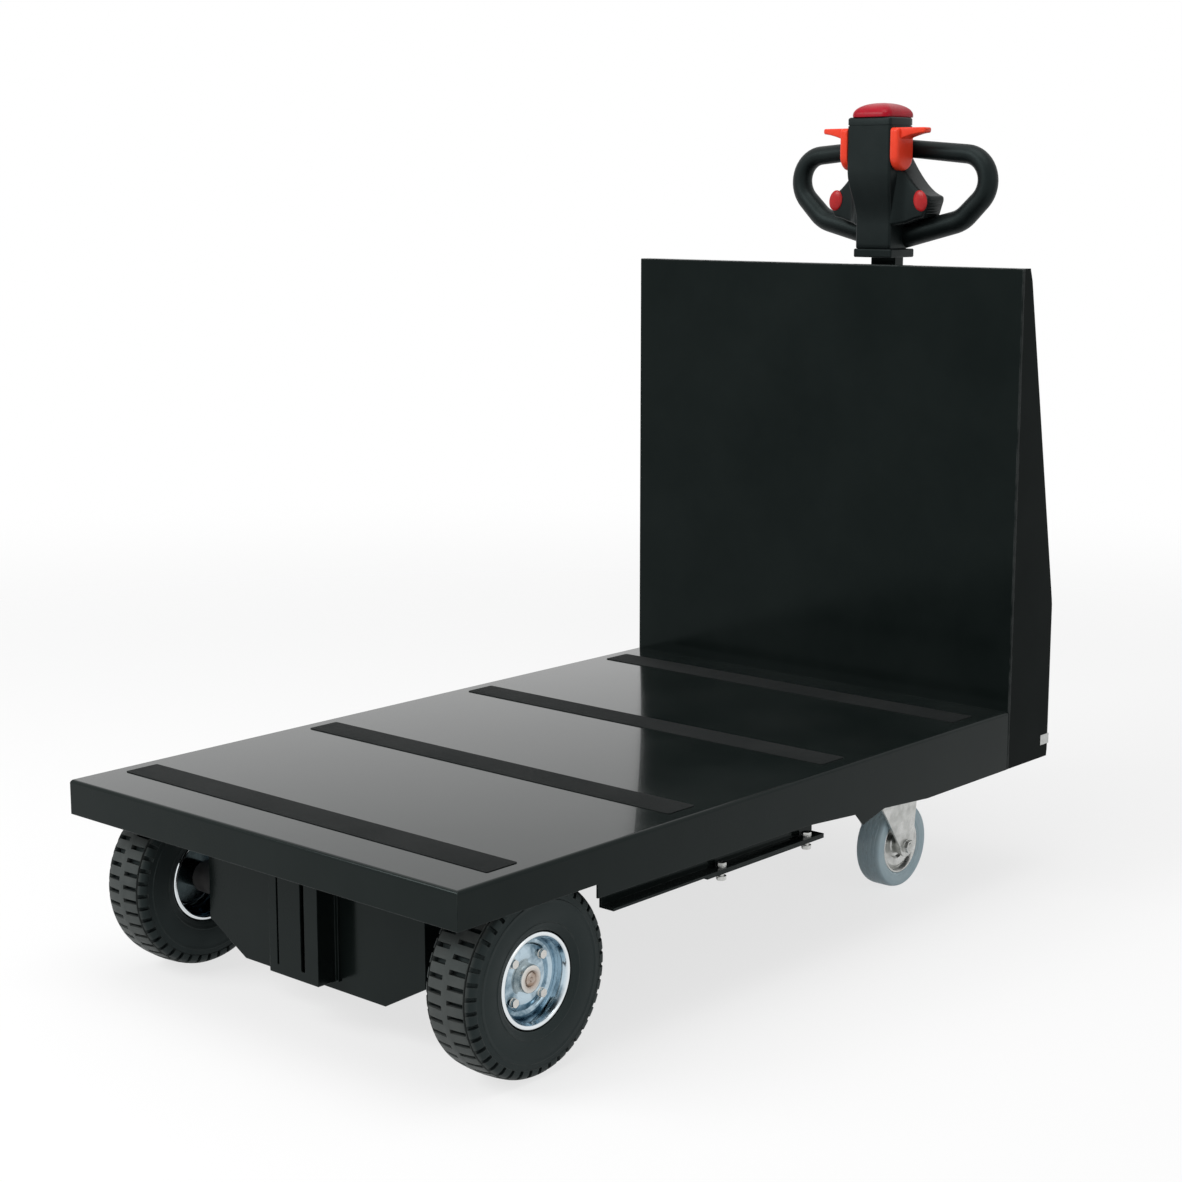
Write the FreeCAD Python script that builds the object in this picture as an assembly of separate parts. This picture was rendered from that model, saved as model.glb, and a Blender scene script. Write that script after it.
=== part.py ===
import FreeCAD, Part
import math
import os

from FreeCAD import Vector

# Electric platform tow tug: a low folded-steel deck on two driven wheels at the
# front and two swivel castors at the rear, with a full-width backrest column and
# a tiller head on a fixed mast behind it.
#
# Frame: origin on the floor at the middle of the overall box, +Z up, +Y towards
# the operator, -Y towards the loading end of the deck. Sizes are millimetres.
# Pieces are laid out by x from the centre line, by "back", the distance behind
# the front edge of the deck, and by height above the floor.

# ---- driving dimensions -------------------------------------------------------

# deck
deck_width = 700.0
deck_length = 1121.0
sheet = 3.0
bend_radius = 5.0
front_skirt_depth = 46.0
side_skirt_depth = 63.0
side_skirt_fall = 2.0
side_step_ahead_of_rail = 27.5
side_slope_run = 275.0
side_slope_end_gap = 206.0
skirt_lug_ahead_of_castor = 264.0
skirt_lug_length = 66.0
skirt_lug_tip = 17.0
skirt_lug_drop = 16.0

# anti-slip strips
strip_width = 50.0
strip_count = 4
strip_front_margin = 70.0
strip_rear_margin = 60.0
strip_side_margin = 24.0
strip_thickness = 1.0

# driven wheels
tyre_radius = 118.0
tyre_width = 76.0
tyre_headroom = 26.0
tyre_skirt_gap = 18.0
tyre_bead_gap = 1.0
tyre_bead_rise = 6.0
tyre_bead_inset = 4.0
tyre_bulge_height = 25.0
tyre_shoulder_drop = 9.0
tyre_shoulder_inset = 2.0
tyre_crown_drop = 1.5
tyre_crown_edge = 9.0
tyre_crown_flat_edge = 20.0
axle_back = 150.0
rim_seat_radius = 51.0
rim_lip = 7.0
rim_setback = 10.0
rim_gauge = 2.5
rim_disc_inset = 17.0
hub_radius = 17.0
hub_length = 34.0
hub_nose = 8.0
hub_flange_thickness = 6.0
hub_flange_margin = 2.0
wheel_bolt_inset = 15.5
wheel_bolt_count = 4
wheel_bolt_head_radius = 6.0
wheel_bolt_head_height = 5.0
shaft_radius = 10.0
shaft_end_recess = 3.0
shaft_running_gap = 0.05

# drive axle
axle_tube_radius = 21.0
axle_tube_hub_gap = 5.0
gear_case_radius = 44.0
gear_case_width = 96.0
gear_case_socket = 10.0
shaft_end_gap = 1.0
motor_radius = 43.0
motor_length = 150.0
motor_neck_radius = 30.0
motor_neck_length = 12.0
motor_edge_round = 4.0
hanger_from_apron_side = 47.0
hanger_thickness = 8.0
hanger_width = 66.0
hanger_foot_width = 50.0

# front apron and socket box
apron_back = 98.0
apron_tyre_gap = 59.0
apron_foot_inset = 69.0
apron_ground_clearance = 52.0
apron_corner_rise = 38.0
apron_return = 28.0
apron_top_return = 16.0
box_width = 89.0
box_depth = 31.0
box_ground_clearance = 64.0
box_flange = 5.0
box_bridge_depth = 23.0
box_groove_width = 3.0
box_groove_from_centre = 28.5
box_slot_width = 7.0
box_slot_from_centre = 17.0
box_slot_foot = 12.0

# deck stiffeners
beam_width = 40.0
beam_depth = 40.0
beam_end_gap = 2.0
front_beam_gap = 75.0
rear_beam_gap = 20.0

# side rails and battery tray
rail_drop = 85.0
rail_flange_width = 22.5
rail_tyre_gap = 5.1
rail_length = 415.5
tray_length = 241.0
tray_ledge = 105.0
tray_floor_drop = 132.0
battery_height = 118.0
battery_side_gap = 15.0
tray_bolt_pitch = 177.0
tray_bolt_rear_margin = 25.0
bolt_radius = 4.0
bolt_head_radius = 6.5
bolt_head_height = 5.5
bolt_fit_gap = 0.2

# castors
castor_radius = 62.5
castor_tyre_width = 40.0
castor_tyre_depth = 20.5
castor_bead_rise = 6.0
castor_bead_inset = 3.0
castor_wall_drop = 7.0
castor_crown_drop = 1.6
castor_crown_edge = 4.5
castor_crown_flat_edge = 9.0
castor_dish_depth = 9.0
castor_dish_edge = 8.0
castor_trail = 25.0
castor_crown_gap = 19.0
castor_side_gap = 5.0
castor_hub_gap = 0.3
castor_inset_from_side = 138.0
castor_inset_from_panel = 113.0
castor_plate_x = 85.0
castor_plate_y = 100.0
castor_plate_thickness = 4.0
castor_race_radius = 29.0
castor_race_height = 6.0
castor_race_gap = 0.3
fork_gauge = 3.0
fork_top_length = 100.0
fork_foot_radius = 16.0
castor_pin_radius = 6.0
castor_pin_head_margin = 3.0
castor_axle_head_margin = 4.0
castor_axle_head_height = 5.0
castor_axle_nut_height = 7.0
castor_hub_radius = 13.0
castor_carrier_end_gap = 57.0

# column (backrest housing)
column_height = 632.6
column_rear_depth = 118.0
column_top_depth = 27.0
column_top_chamfer = 6.0
column_foot_chamfer = 6.0
column_slope_start = 120.0
column_slope_top = 615.0
column_foot_round = 31.0
column_floor_clearance = 22.0
column_lip_depth = 9.0
column_lip_gap = 3.0
panel_return = 5.5
panel_seam_gap = 1.2
column_bend_radius = 6.0
cover_side_inset = 1.0

# mast and its brackets
mast_width = 45.0
mast_depth = 22.0
mast_wall = 2.5
mast_centre_behind_column = 61.0
mast_foot_lift = 16.0
mast_top_height = 642.0
bracket_gauge = 5.0
foot_bracket_width = 110.0
foot_bracket_height = 130.0
foot_cheek_height = 71.5
stay_bracket_width = 90.0
stay_bracket_height = 60.0
stay_cheek_taper = 15.0
stay_centre_height = 540.0

# tiller head
head_width = 79.0
head_depth = 76.0
head_ahead_of_mast = 58.0
head_foot_height = 651.0
head_step_height = 704.0
head_curve_foot_height = 690.0
head_curve_top_height = 770.0
head_top_height = 849.0
head_rear_round = 24.0
head_spine_width = 64.0
head_spine_setback = 16.0
head_spine_round = 19.0
clamp_width = 70.0
clamp_depth = 64.0
clamp_height = 13.0
clamp_ahead_of_mast = 10.0
clamp_round = 3.0
pod_half_width = 94.0
pod_front_setback = 28.0
pod_depth = 48.0
pod_low_height = 698.0
pod_root_drop = 12.0
pod_foot_chamfer_across = 8.0
pod_foot_chamfer_up = 6.0
pod_corner_height = 731.0
pod_shoulder_height = 768.0
pod_shoulder_reach = 8.0
pod_button_from_centre = 78.0
pod_button_height = 724.0
pod_button_radius = 15.0
pod_button_proud = 5.0
reverse_button_width = 78.0
reverse_button_depth = 70.0
reverse_button_rise = 22.0
reverse_side_rise = 7.0
reverse_corner_round = 13.0
lever_disc_thickness = 14.0
lever_round = 4.0
lever_from_front = 22.0
lever_disc_radius = 22.0
lever_disc_height = 64.0
lever_wing_tip = 93.0
lever_wing_depth = 26.0
lever_top_height = 833.0
lever_wing_tip_thickness = 9.0
lever_wing_root_thickness = 18.0
lever_tip_chamfer = 4.0
lever_gap = 0.2

# grip loops
grip_half_width = 183.0
grip_top_height = 816.0
grip_low_height = 649.0
grip_radius = 13.5
grip_foot_radius = 18.0
grip_from_mast = 9.0
grip_root_lap = 6.0
grip_top_droop = 12.0
grip_shoulder_radius = 40.0
grip_side_drop = 66.0
grip_side_radius = 42.0
grip_heel_half_width = 128.0
grip_heel_rise = 26.0
grip_heel_radius = 50.0

# plate and controls on the column
plate_width = 23.0
plate_height = 15.0
plate_thickness = 0.8
plate_from_rear = 2.0
plate_rise = 34.0
control_height = 500.0
key_from_centre = 170.0
key_radius = 13.0
key_proud = 7.0
key_bow_radius = 6.0
key_bow_proud = 14.0
gauge_from_centre = 235.0
gauge_radius = 26.0
gauge_proud = 5.0

# ---- levels and places worked out from them -----------------------------------

half_width = deck_width / 2.0
deck_under = 2.0 * tyre_radius + tyre_headroom
deck_top = deck_under + sheet

axle_height = tyre_radius
wheel_outer = half_width - tyre_skirt_gap
wheel_centre = wheel_outer - tyre_width / 2.0
rim_width = tyre_width - rim_setback
rim_flange_radius = rim_seat_radius + rim_lip
rim_barrel_radius = rim_seat_radius - rim_gauge
rim_disc_out = rim_width / 2.0 - rim_disc_inset
wheel_bolt_circle_radius = rim_barrel_radius - wheel_bolt_inset
axle_tube_end = wheel_centre + rim_disc_out - hub_length - axle_tube_hub_gap

apron_half_width = wheel_centre - tyre_width / 2.0 - apron_tyre_gap
apron_foot_half_width = apron_half_width - apron_foot_inset
apron_corner_height = apron_ground_clearance + apron_corner_rise
hanger_x = apron_half_width - hanger_from_apron_side
box_face_back = apron_back - box_depth

rail_low = deck_top - rail_drop
rail_start = (axle_back + math.sqrt(tyre_radius ** 2 - (rail_low - axle_height) ** 2)
              + rail_tyre_gap)
rail_end = rail_start + rail_length
rail_web_inner = half_width - rail_flange_width
side_step_back = rail_start - side_step_ahead_of_rail
side_slope_end = deck_length - side_slope_end_gap
side_slope_start = side_slope_end - side_slope_run
tray_start = rail_end - tray_length
tray_half_width = half_width - tray_ledge
tray_floor = deck_top - tray_floor_drop

castor_back = deck_length - castor_inset_from_panel
skirt_lug_back = castor_back - skirt_lug_ahead_of_castor
castor_wheel_back = castor_back + castor_trail
castor_x = half_width - castor_inset_from_side
castor_core_radius = castor_radius - castor_tyre_depth
castor_mount = (2.0 * castor_radius + castor_crown_gap + castor_race_height
                + fork_gauge + castor_plate_thickness)
fork_crown_top = castor_mount - castor_plate_thickness - castor_race_height - castor_race_gap
fork_crown_low = fork_crown_top - fork_gauge
fork_leg_inner = castor_tyre_width / 2.0 + castor_side_gap
fork_leg_outer = fork_leg_inner + fork_gauge

column_front = deck_length
column_rear = column_front + column_rear_depth
column_top_rear = column_front + column_top_depth
column_bottom = castor_mount + column_floor_clearance
cover_side = half_width - cover_side_inset

mast_back = column_rear + mast_centre_behind_column
mast_front = mast_back - mast_depth / 2.0
mast_rear = mast_back + mast_depth / 2.0
mast_foot_low = column_bottom + mast_foot_lift
mast_low = mast_foot_low + bracket_gauge
head_front = mast_back - head_ahead_of_mast
head_rear = head_front + head_depth
grip_back = mast_back + grip_from_mast
lever_back = head_front + lever_from_front

overall_length = grip_back + grip_foot_radius
front_edge = -overall_length / 2.0

near = 0.1
along_x = Vector(1, 0, 0)
along_y = Vector(0, 1, 0)
along_z = Vector(0, 0, 1)


# ---- ways to make a shape -------------------------------------------------------


def at(x, back, height):
    """A point given by x, its distance behind the deck's front edge and its height."""
    return Vector(x, front_edge + back, height)


def box(x0, x1, back0, back1, low, high):
    """A block between two x, two distances behind the front edge and two heights."""
    return Part.makeBox(x1 - x0, back1 - back0, high - low, at(x0, back0, low))


def cylinder_x(radius, x0, x1, back, height):
    """A round bar along X from x0 to x1."""
    return Part.makeCylinder(radius, x1 - x0, at(x0, back, height), along_x)


def cylinder_y(radius, back0, back1, x, height):
    """A round bar along Y from back0 to back1."""
    return Part.makeCylinder(radius, back1 - back0, at(x, back0, height), along_y)


def cylinder_z(radius, low, high, x, back):
    """A round bar along Z from low to high."""
    return Part.makeCylinder(radius, high - low, at(x, back, low), along_z)


def side_plate(outline, x0, x1):
    """Extrude an outline of (back, height) points along X from x0 to x1."""
    points = [at(x0, back, height) for back, height in outline]
    wire = Part.makePolygon(points + points[:1])
    return Part.Face(wire).extrude(along_x * (x1 - x0))


def front_plate(outline, back0, back1):
    """Extrude an outline of (x, height) points along Y from back0 to back1."""
    points = [at(x, back0, height) for x, height in outline]
    wire = Part.makePolygon(points + points[:1])
    return Part.Face(wire).extrude(along_y * (back1 - back0))


def edges_along(shape, direction, keep):
    """Straight edges of a shape along a direction whose middle passes a test."""
    found = []
    for edge in shape.Edges:
        if edge.Curve.TypeId != "Part::GeomLine":
            continue
        start = edge.Vertexes[0].Point
        end = edge.Vertexes[-1].Point
        along = (end - start).normalize()
        if along.cross(direction).Length < 1e-6 and keep((start + end) * 0.5):
            found.append(edge)
    return found


def revolve_about_x(outline, x_of, back, height):
    """Turn an outline of (radius, outward) points about an X axis at back, height.

    x_of gives the x of an outward distance, so a wheel can face either way.
    """
    points = [at(x_of(out), back, height + radius) for radius, out in outline]
    wire = Part.makePolygon(points + points[:1])
    return Part.Face(wire).revolve(at(0, back, height), along_x, 360)


def mirrored_outline(half_outline):
    """Close a wheel's half outline of (radius, outward) points on its mirror image."""
    return half_outline + [(radius, -out) for radius, out in reversed(half_outline)]


def fused(pieces):
    """Join pieces that are welded or folded from one sheet into one solid."""
    shape = pieces[0].fuse(pieces[1:])
    return shape.removeSplitter()


def drilled(shape, places, radius, low, high):
    """Drill upright holes through a shape."""
    for x, back in places:
        shape = shape.cut(cylinder_z(radius, low, high, x, back))
    return shape


def write(name, shape):
    """Write one named sub-part."""
    os.makedirs("parts", exist_ok=True)
    shape.exportStep("parts/" + name + ".step")


# ---- deck ---------------------------------------------------------------------


def skirt_outline():
    """Side skirt: shallow at the wheel, one step, then a slope down to the column.

    A short lug hangs from the slope, ahead of the castor.
    """
    shallow = deck_top - front_skirt_depth
    deep = deck_top - side_skirt_depth
    slope_top = deep - side_skirt_fall
    fall = (column_bottom - slope_top) / side_slope_run

    def slope_height(back):
        return slope_top + fall * (back - side_slope_start)

    lug_end = skirt_lug_back + skirt_lug_length
    lug_tip = skirt_lug_back + skirt_lug_tip
    return [
        (0.0, deck_top),
        (0.0, shallow),
        (side_step_back, shallow),
        (side_step_back, deep),
        (side_slope_start, slope_top),
        (skirt_lug_back, slope_height(skirt_lug_back)),
        (lug_tip, slope_height(lug_tip) - skirt_lug_drop),
        (lug_end, slope_height(lug_end)),
        (side_slope_end, column_bottom),
        (deck_length, column_bottom),
        (deck_length, deck_top),
    ]


def bend_edges(shape, level, front):
    """The front and side edges of a folded pan at its top level."""
    sides = edges_along(shape, along_y, lambda m: m.z > level - near)
    fronts = edges_along(shape, along_x, lambda m: m.z > level - near and m.y < front + near)
    return sides + fronts


def deck_pan():
    """One sheet folded down at the front and both sides, with rounded bends."""
    outer = side_plate(skirt_outline(), -half_width, half_width)
    outer = outer.makeFillet(bend_radius, bend_edges(outer, deck_top, front_edge))
    inside = half_width - sheet
    inner = box(-inside, inside, sheet, deck_length, 0.0, deck_under)
    inner_edges = bend_edges(inner, deck_under, front_edge + sheet)
    inner = inner.makeFillet(bend_radius - sheet, inner_edges)
    return outer.cut(inner)


def deck_beams():
    """Two folded channels across the deck's underside, open upwards."""
    beams = []
    reach = half_width - 2.0 * rail_flange_width - beam_end_gap
    low = deck_under - beam_depth
    for start in (axle_back + front_beam_gap, rail_end + rear_beam_gap):
        end = start + beam_width
        outer = box(-reach, reach, start, end, low, deck_under)
        hollow = box(-reach, reach, start + sheet, end - sheet, low + sheet, deck_under)
        beams.append(outer.cut(hollow))
    return Part.makeCompound(beams)


def grip_strips():
    """Transverse anti-slip strips stuck on the deck, evenly spaced."""
    strips = []
    reach = half_width - strip_side_margin
    first = strip_front_margin
    last = deck_length - strip_rear_margin - strip_width
    pitch = (last - first) / (strip_count - 1)
    for number in range(strip_count):
        start = first + number * pitch
        strip = box(-reach, reach, start, start + strip_width, deck_top, deck_top + strip_thickness)
        strips.append(strip)
    return Part.makeCompound(strips)


# ---- front apron and socket box -------------------------------------------------


def front_apron():
    """Apron plate, cut back to a narrower foot, with folded side and top returns."""
    wide = apron_half_width
    foot = apron_foot_half_width
    corner = apron_corner_height
    plate = front_plate([
        (-wide, deck_under),
        (-wide, corner),
        (-foot, apron_ground_clearance),
        (foot, apron_ground_clearance),
        (wide, corner),
        (wide, deck_under),
    ], apron_back, apron_back + sheet)
    side_end = apron_back + apron_return
    top_end = apron_back + apron_top_return
    left = box(-wide, -wide + sheet, apron_back, side_end, corner, deck_under)
    right = box(wide - sheet, wide, apron_back, side_end, corner, deck_under)
    top = box(-wide, wide, apron_back, top_end, deck_under - sheet, deck_under)
    return fused([plate, left, right, top])


def hitch_box():
    """Upright socket box on the apron: a folded hat with a groove and a slot."""
    half = box_width / 2.0
    inside = half - sheet
    brim = half + box_flange
    face = box_face_back
    low = box_ground_clearance
    outer = box(-half, half, face, apron_back, low, deck_under)
    hollow = box(-inside, inside, face + sheet, apron_back, low + sheet, deck_under)
    flange = box(-brim, brim, apron_back - sheet, apron_back, low, deck_under)
    shell = fused([outer, flange]).cut(hollow)
    groove_half = box_groove_width / 2.0
    slot_half = box_slot_width / 2.0
    foot = low + box_slot_foot
    groove = box(-box_groove_from_centre - groove_half, -box_groove_from_centre + groove_half,
                 face, face + sheet, foot, deck_under)
    slot = box(box_slot_from_centre - slot_half, box_slot_from_centre + slot_half,
               face, face + sheet, foot, deck_under)
    bridge = box(-half, half, face, face + sheet, deck_under - box_bridge_depth, deck_under)
    return shell.cut(groove.fuse(slot)).fuse(bridge).removeSplitter()


# ---- side rails, battery tray ---------------------------------------------------


def tray_bolt_places():
    """Places of the bolts that hold the tray under the rails."""
    places = []
    rear = rail_end - tray_bolt_rear_margin
    for side in (-1.0, 1.0):
        x = side * (half_width - (rail_flange_width - sheet) / 2.0)
        for back in (rear - tray_bolt_pitch, rear):
            places.append((x, back))
    return places


def side_rails():
    """Two folded rails: a flange under the deck, a web, and a flange outwards."""
    rails = []
    inner = rail_web_inner
    outer = rail_web_inner + sheet
    roof = deck_under - sheet
    for side in (-1.0, 1.0):
        web_x = sorted((side * inner, side * outer))
        foot_x = sorted((side * inner, side * half_width))
        roof_x = sorted((side * (inner - rail_flange_width), side * outer))
        web = box(web_x[0], web_x[1], rail_start, rail_end, rail_low, deck_under)
        foot = box(foot_x[0], foot_x[1], rail_start, rail_end, rail_low, rail_low + sheet)
        top = box(roof_x[0], roof_x[1], rail_start, rail_end, roof, deck_under)
        rail = fused([web, foot, top])
        hole = bolt_radius + bolt_fit_gap
        rails.append(drilled(rail, tray_bolt_places(), hole, rail_low, rail_low + sheet))
    return Part.makeCompound(rails)


def battery_tray():
    """Folded pan: flanges bolted under the rails, walls and a floor below."""
    reach = tray_half_width
    inside = reach - sheet
    flange_low = rail_low - sheet
    flange = box(-half_width, half_width, tray_start, rail_end, flange_low, rail_low)
    outer = box(-reach, reach, tray_start, rail_end, tray_floor, rail_low)
    hollow = box(-inside, inside, tray_start + sheet, rail_end - sheet, tray_floor + sheet, rail_low)
    pan = fused([flange, outer]).cut(hollow)
    hole = bolt_radius + bolt_fit_gap
    return drilled(pan, tray_bolt_places(), hole, flange_low, rail_low)


def battery_block():
    """The traction batteries as one plain block standing in the tray."""
    inset = sheet + battery_side_gap
    reach = tray_half_width - inset
    low = tray_floor + sheet
    return box(-reach, reach, tray_start + inset, rail_end - inset, low, low + battery_height)


def tray_bolts():
    """Bolts through rail and tray flanges, head above and nut below."""
    bolts = []
    top = rail_low + sheet
    bottom = rail_low - sheet
    for x, back in tray_bolt_places():
        shank = cylinder_z(bolt_radius, bottom - 2.0 * bolt_head_height, top, x, back)
        head = cylinder_z(bolt_head_radius, top, top + bolt_head_height, x, back)
        nut = cylinder_z(bolt_head_radius, bottom - bolt_head_height, bottom, x, back)
        bolts.append(fused([shank, head, nut]))
    return Part.makeCompound(bolts)


# ---- drive axle -----------------------------------------------------------------


def motor_start():
    """Where the motor begins, behind the gear case and its neck."""
    return axle_back + gear_case_radius + motor_neck_length


def axle_housing():
    """Gear case in the middle with a tube to each wheel, bored for the shafts."""
    end = axle_tube_end
    case_half = gear_case_width / 2.0
    socket = case_half - gear_case_socket
    tube = cylinder_x(axle_tube_radius, -end, end, axle_back, axle_height)
    case = cylinder_x(gear_case_radius, -case_half, case_half, axle_back, axle_height)
    neck = cylinder_y(motor_neck_radius, axle_back, motor_start(), 0.0, axle_height)
    body = fused([tube, case, neck])
    bore = shaft_radius + shaft_running_gap
    for x0, x1 in ((-end, -socket), (socket, end)):
        body = body.cut(cylinder_x(bore, x0, x1, axle_back, axle_height))
    return body


def drive_motor():
    """Round motor bolted to the back of the gear case."""
    start = motor_start()
    motor = cylinder_y(motor_radius, start, start + motor_length, 0.0, axle_height)
    rims = [edge for edge in motor.Edges if edge.Curve.TypeId == "Part::GeomCircle"]
    return motor.makeFillet(motor_edge_round, rims)


def axle_hangers():
    """Two welded hangers that carry the axle tube under the deck."""
    hangers = []
    half_gauge = hanger_thickness / 2.0
    half_hanger = hanger_width / 2.0
    half_foot = hanger_foot_width / 2.0
    low = axle_height - axle_tube_radius - hanger_thickness
    front = axle_back - half_hanger
    rear = axle_back + half_hanger
    for side in (-1.0, 1.0):
        x = side * hanger_x
        plate = side_plate([
            (front, deck_under),
            (front, axle_height),
            (axle_back - half_hanger / 2.0, low),
            (axle_back + half_hanger / 2.0, low),
            (rear, axle_height),
            (rear, deck_under),
        ], x - half_gauge, x + half_gauge)
        foot = box(x - half_foot, x + half_foot, front, rear, deck_under - hanger_thickness, deck_under)
        hole_radius = axle_tube_radius + shaft_running_gap
        hole = cylinder_x(hole_radius, x - half_gauge, x + half_gauge, axle_back, axle_height)
        hangers.append(fused([plate, foot]).cut(hole))
    return Part.makeCompound(hangers)


# ---- driven wheels --------------------------------------------------------------


def wheel_face(side):
    """x of a distance outwards from a driven wheel's middle plane."""
    return lambda out: side * (wheel_centre + out)


def drive_tyre(side):
    """Tyre with a flat crown, round shoulders and full side walls."""
    half = tyre_width / 2.0
    bead = rim_width / 2.0 - rim_gauge - tyre_bead_gap
    outline = mirrored_outline([
        (rim_seat_radius, bead),
        (rim_flange_radius, bead),
        (rim_flange_radius + tyre_bead_rise, half - tyre_bead_inset),
        (rim_flange_radius + tyre_bulge_height, half),
        (tyre_radius - tyre_shoulder_drop, half - tyre_shoulder_inset),
        (tyre_radius - tyre_crown_drop, half - tyre_crown_edge),
        (tyre_radius, half - tyre_crown_flat_edge),
    ])
    return revolve_about_x(outline, wheel_face(side), axle_back, axle_height)


def drive_rim(side):
    """Pressed rim: a barrel with a lip each side and a disc set in from the face."""
    half = rim_width / 2.0
    outline = [
        (rim_flange_radius, -half),
        (rim_flange_radius, -half + rim_gauge),
        (rim_seat_radius, -half + rim_gauge),
        (rim_seat_radius, half - rim_gauge),
        (rim_flange_radius, half - rim_gauge),
        (rim_flange_radius, half),
        (rim_barrel_radius, half),
        (rim_barrel_radius, rim_disc_out),
        (hub_radius, rim_disc_out),
        (hub_radius, rim_disc_out - rim_gauge),
        (rim_barrel_radius, rim_disc_out - rim_gauge),
        (rim_barrel_radius, -half),
    ]
    return revolve_about_x(outline, wheel_face(side), axle_back, axle_height)


def drive_hub(side):
    """Hub, its flange behind the rim disc, the shaft into the axle and the bolts."""
    face = wheel_face(side)
    shaft_end = gear_case_width / 2.0 - gear_case_socket + shaft_end_gap - wheel_centre
    hub_back = rim_disc_out - hub_length
    flange_front = rim_disc_out - rim_gauge
    flange_back = flange_front - hub_flange_thickness
    flange_radius = wheel_bolt_circle_radius + wheel_bolt_head_radius + hub_flange_margin
    nose = rim_disc_out + hub_nose
    outline = [
        (0.0, shaft_end),
        (shaft_radius, shaft_end),
        (shaft_radius, hub_back),
        (hub_radius, hub_back),
        (hub_radius, flange_back),
        (flange_radius, flange_back),
        (flange_radius, flange_front),
        (hub_radius, flange_front),
        (hub_radius, nose),
        (shaft_radius, nose),
        (shaft_radius, nose - shaft_end_recess),
        (0.0, nose - shaft_end_recess),
    ]
    pieces = [revolve_about_x(outline, face, axle_back, axle_height)]
    head_x = sorted((face(rim_disc_out), face(rim_disc_out + wheel_bolt_head_height)))
    for number in range(wheel_bolt_count):
        turn = 2.0 * math.pi * (number + 0.5) / wheel_bolt_count
        back = axle_back + wheel_bolt_circle_radius * math.cos(turn)
        height = axle_height + wheel_bolt_circle_radius * math.sin(turn)
        pieces.append(cylinder_x(wheel_bolt_head_radius, head_x[0], head_x[1], back, height))
    return Part.makeCompound(pieces)


# ---- castors --------------------------------------------------------------------


def castor_plate_ends():
    """Front and rear edge of the castor plates, which stop short of the panel."""
    half = castor_plate_y / 2.0
    return castor_back - half, castor_back + half - sheet


def castor_carrier():
    """Folded cross channel that brings the castor plates down from the deck."""
    reach = half_width - castor_carrier_end_gap
    start, end = castor_plate_ends()
    outer = box(-reach, reach, start, end, castor_mount, deck_under)
    hollow = box(-reach, reach, start + sheet, end - sheet, castor_mount + bracket_gauge, deck_under)
    return outer.cut(hollow)


def castor_plate(side):
    """Top plate with the bearing race and the king pin, screwed to the carrier."""
    x = side * castor_x
    half = castor_plate_x / 2.0
    start, end = castor_plate_ends()
    plate_low = castor_mount - castor_plate_thickness
    race_low = plate_low - castor_race_height
    head_top = fork_crown_low - castor_race_gap
    head_low = head_top - fork_gauge
    plate = box(x - half, x + half, start, end, plate_low, castor_mount)
    race = cylinder_z(castor_race_radius, race_low, plate_low, x, castor_back)
    pin = cylinder_z(castor_pin_radius, head_low, race_low, x, castor_back)
    head_radius = castor_pin_radius + castor_pin_head_margin
    head = cylinder_z(head_radius, head_low, head_top, x, castor_back)
    return fused([plate, race, pin, head])


def castor_fork(side):
    """Pressed fork: a crown under the race and a leg each side of the wheel."""
    x = side * castor_x
    front = castor_back - fork_top_length / 2.0
    rear = castor_back + fork_top_length / 2.0
    bore = castor_pin_radius + shaft_running_gap
    crown = box(x - fork_leg_outer, x + fork_leg_outer, front, rear, fork_crown_low, fork_crown_top)
    pieces = [crown.cut(cylinder_z(bore, fork_crown_low, fork_crown_top, x, castor_back))]
    for leg_x in (x - fork_leg_outer, x + fork_leg_inner):
        leg_end = leg_x + fork_gauge
        leg = side_plate([
            (front, fork_crown_top),
            (castor_wheel_back - fork_foot_radius, castor_radius),
            (castor_wheel_back + fork_foot_radius, castor_radius),
            (rear, fork_crown_top),
        ], leg_x, leg_end)
        foot = cylinder_x(fork_foot_radius, leg_x, leg_end, castor_wheel_back, castor_radius)
        hole = cylinder_x(bore, leg_x, leg_end, castor_wheel_back, castor_radius)
        pieces.append(leg.fuse(foot).cut(hole))
    return fused(pieces)


def castor_axle(side):
    """Axle bolt through the fork, with a head and a nut."""
    x = side * castor_x
    left = x - fork_leg_outer
    right = x + fork_leg_outer
    head_radius = castor_pin_radius + castor_axle_head_margin
    head_end = left - castor_axle_head_height
    nut_end = right + castor_axle_nut_height
    shank = cylinder_x(castor_pin_radius, left, right, castor_wheel_back, castor_radius)
    head = cylinder_x(head_radius, head_end, left, castor_wheel_back, castor_radius)
    nut = cylinder_x(head_radius, right, nut_end, castor_wheel_back, castor_radius)
    return fused([shank, head, nut])


def castor_face(side):
    """x of a distance outwards from a castor wheel's middle plane."""
    return lambda out: side * castor_x + out


def castor_tyre(side):
    """Grey rubber tyre with a flat tread and rounded edges."""
    half = castor_tyre_width / 2.0
    outline = mirrored_outline([
        (castor_core_radius, half - castor_bead_inset),
        (castor_core_radius + castor_bead_rise, half),
        (castor_radius - castor_wall_drop, half),
        (castor_radius - castor_crown_drop, half - castor_crown_edge),
        (castor_radius, half - castor_crown_flat_edge),
    ])
    return revolve_about_x(outline, castor_face(side), castor_wheel_back, castor_radius)


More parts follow.
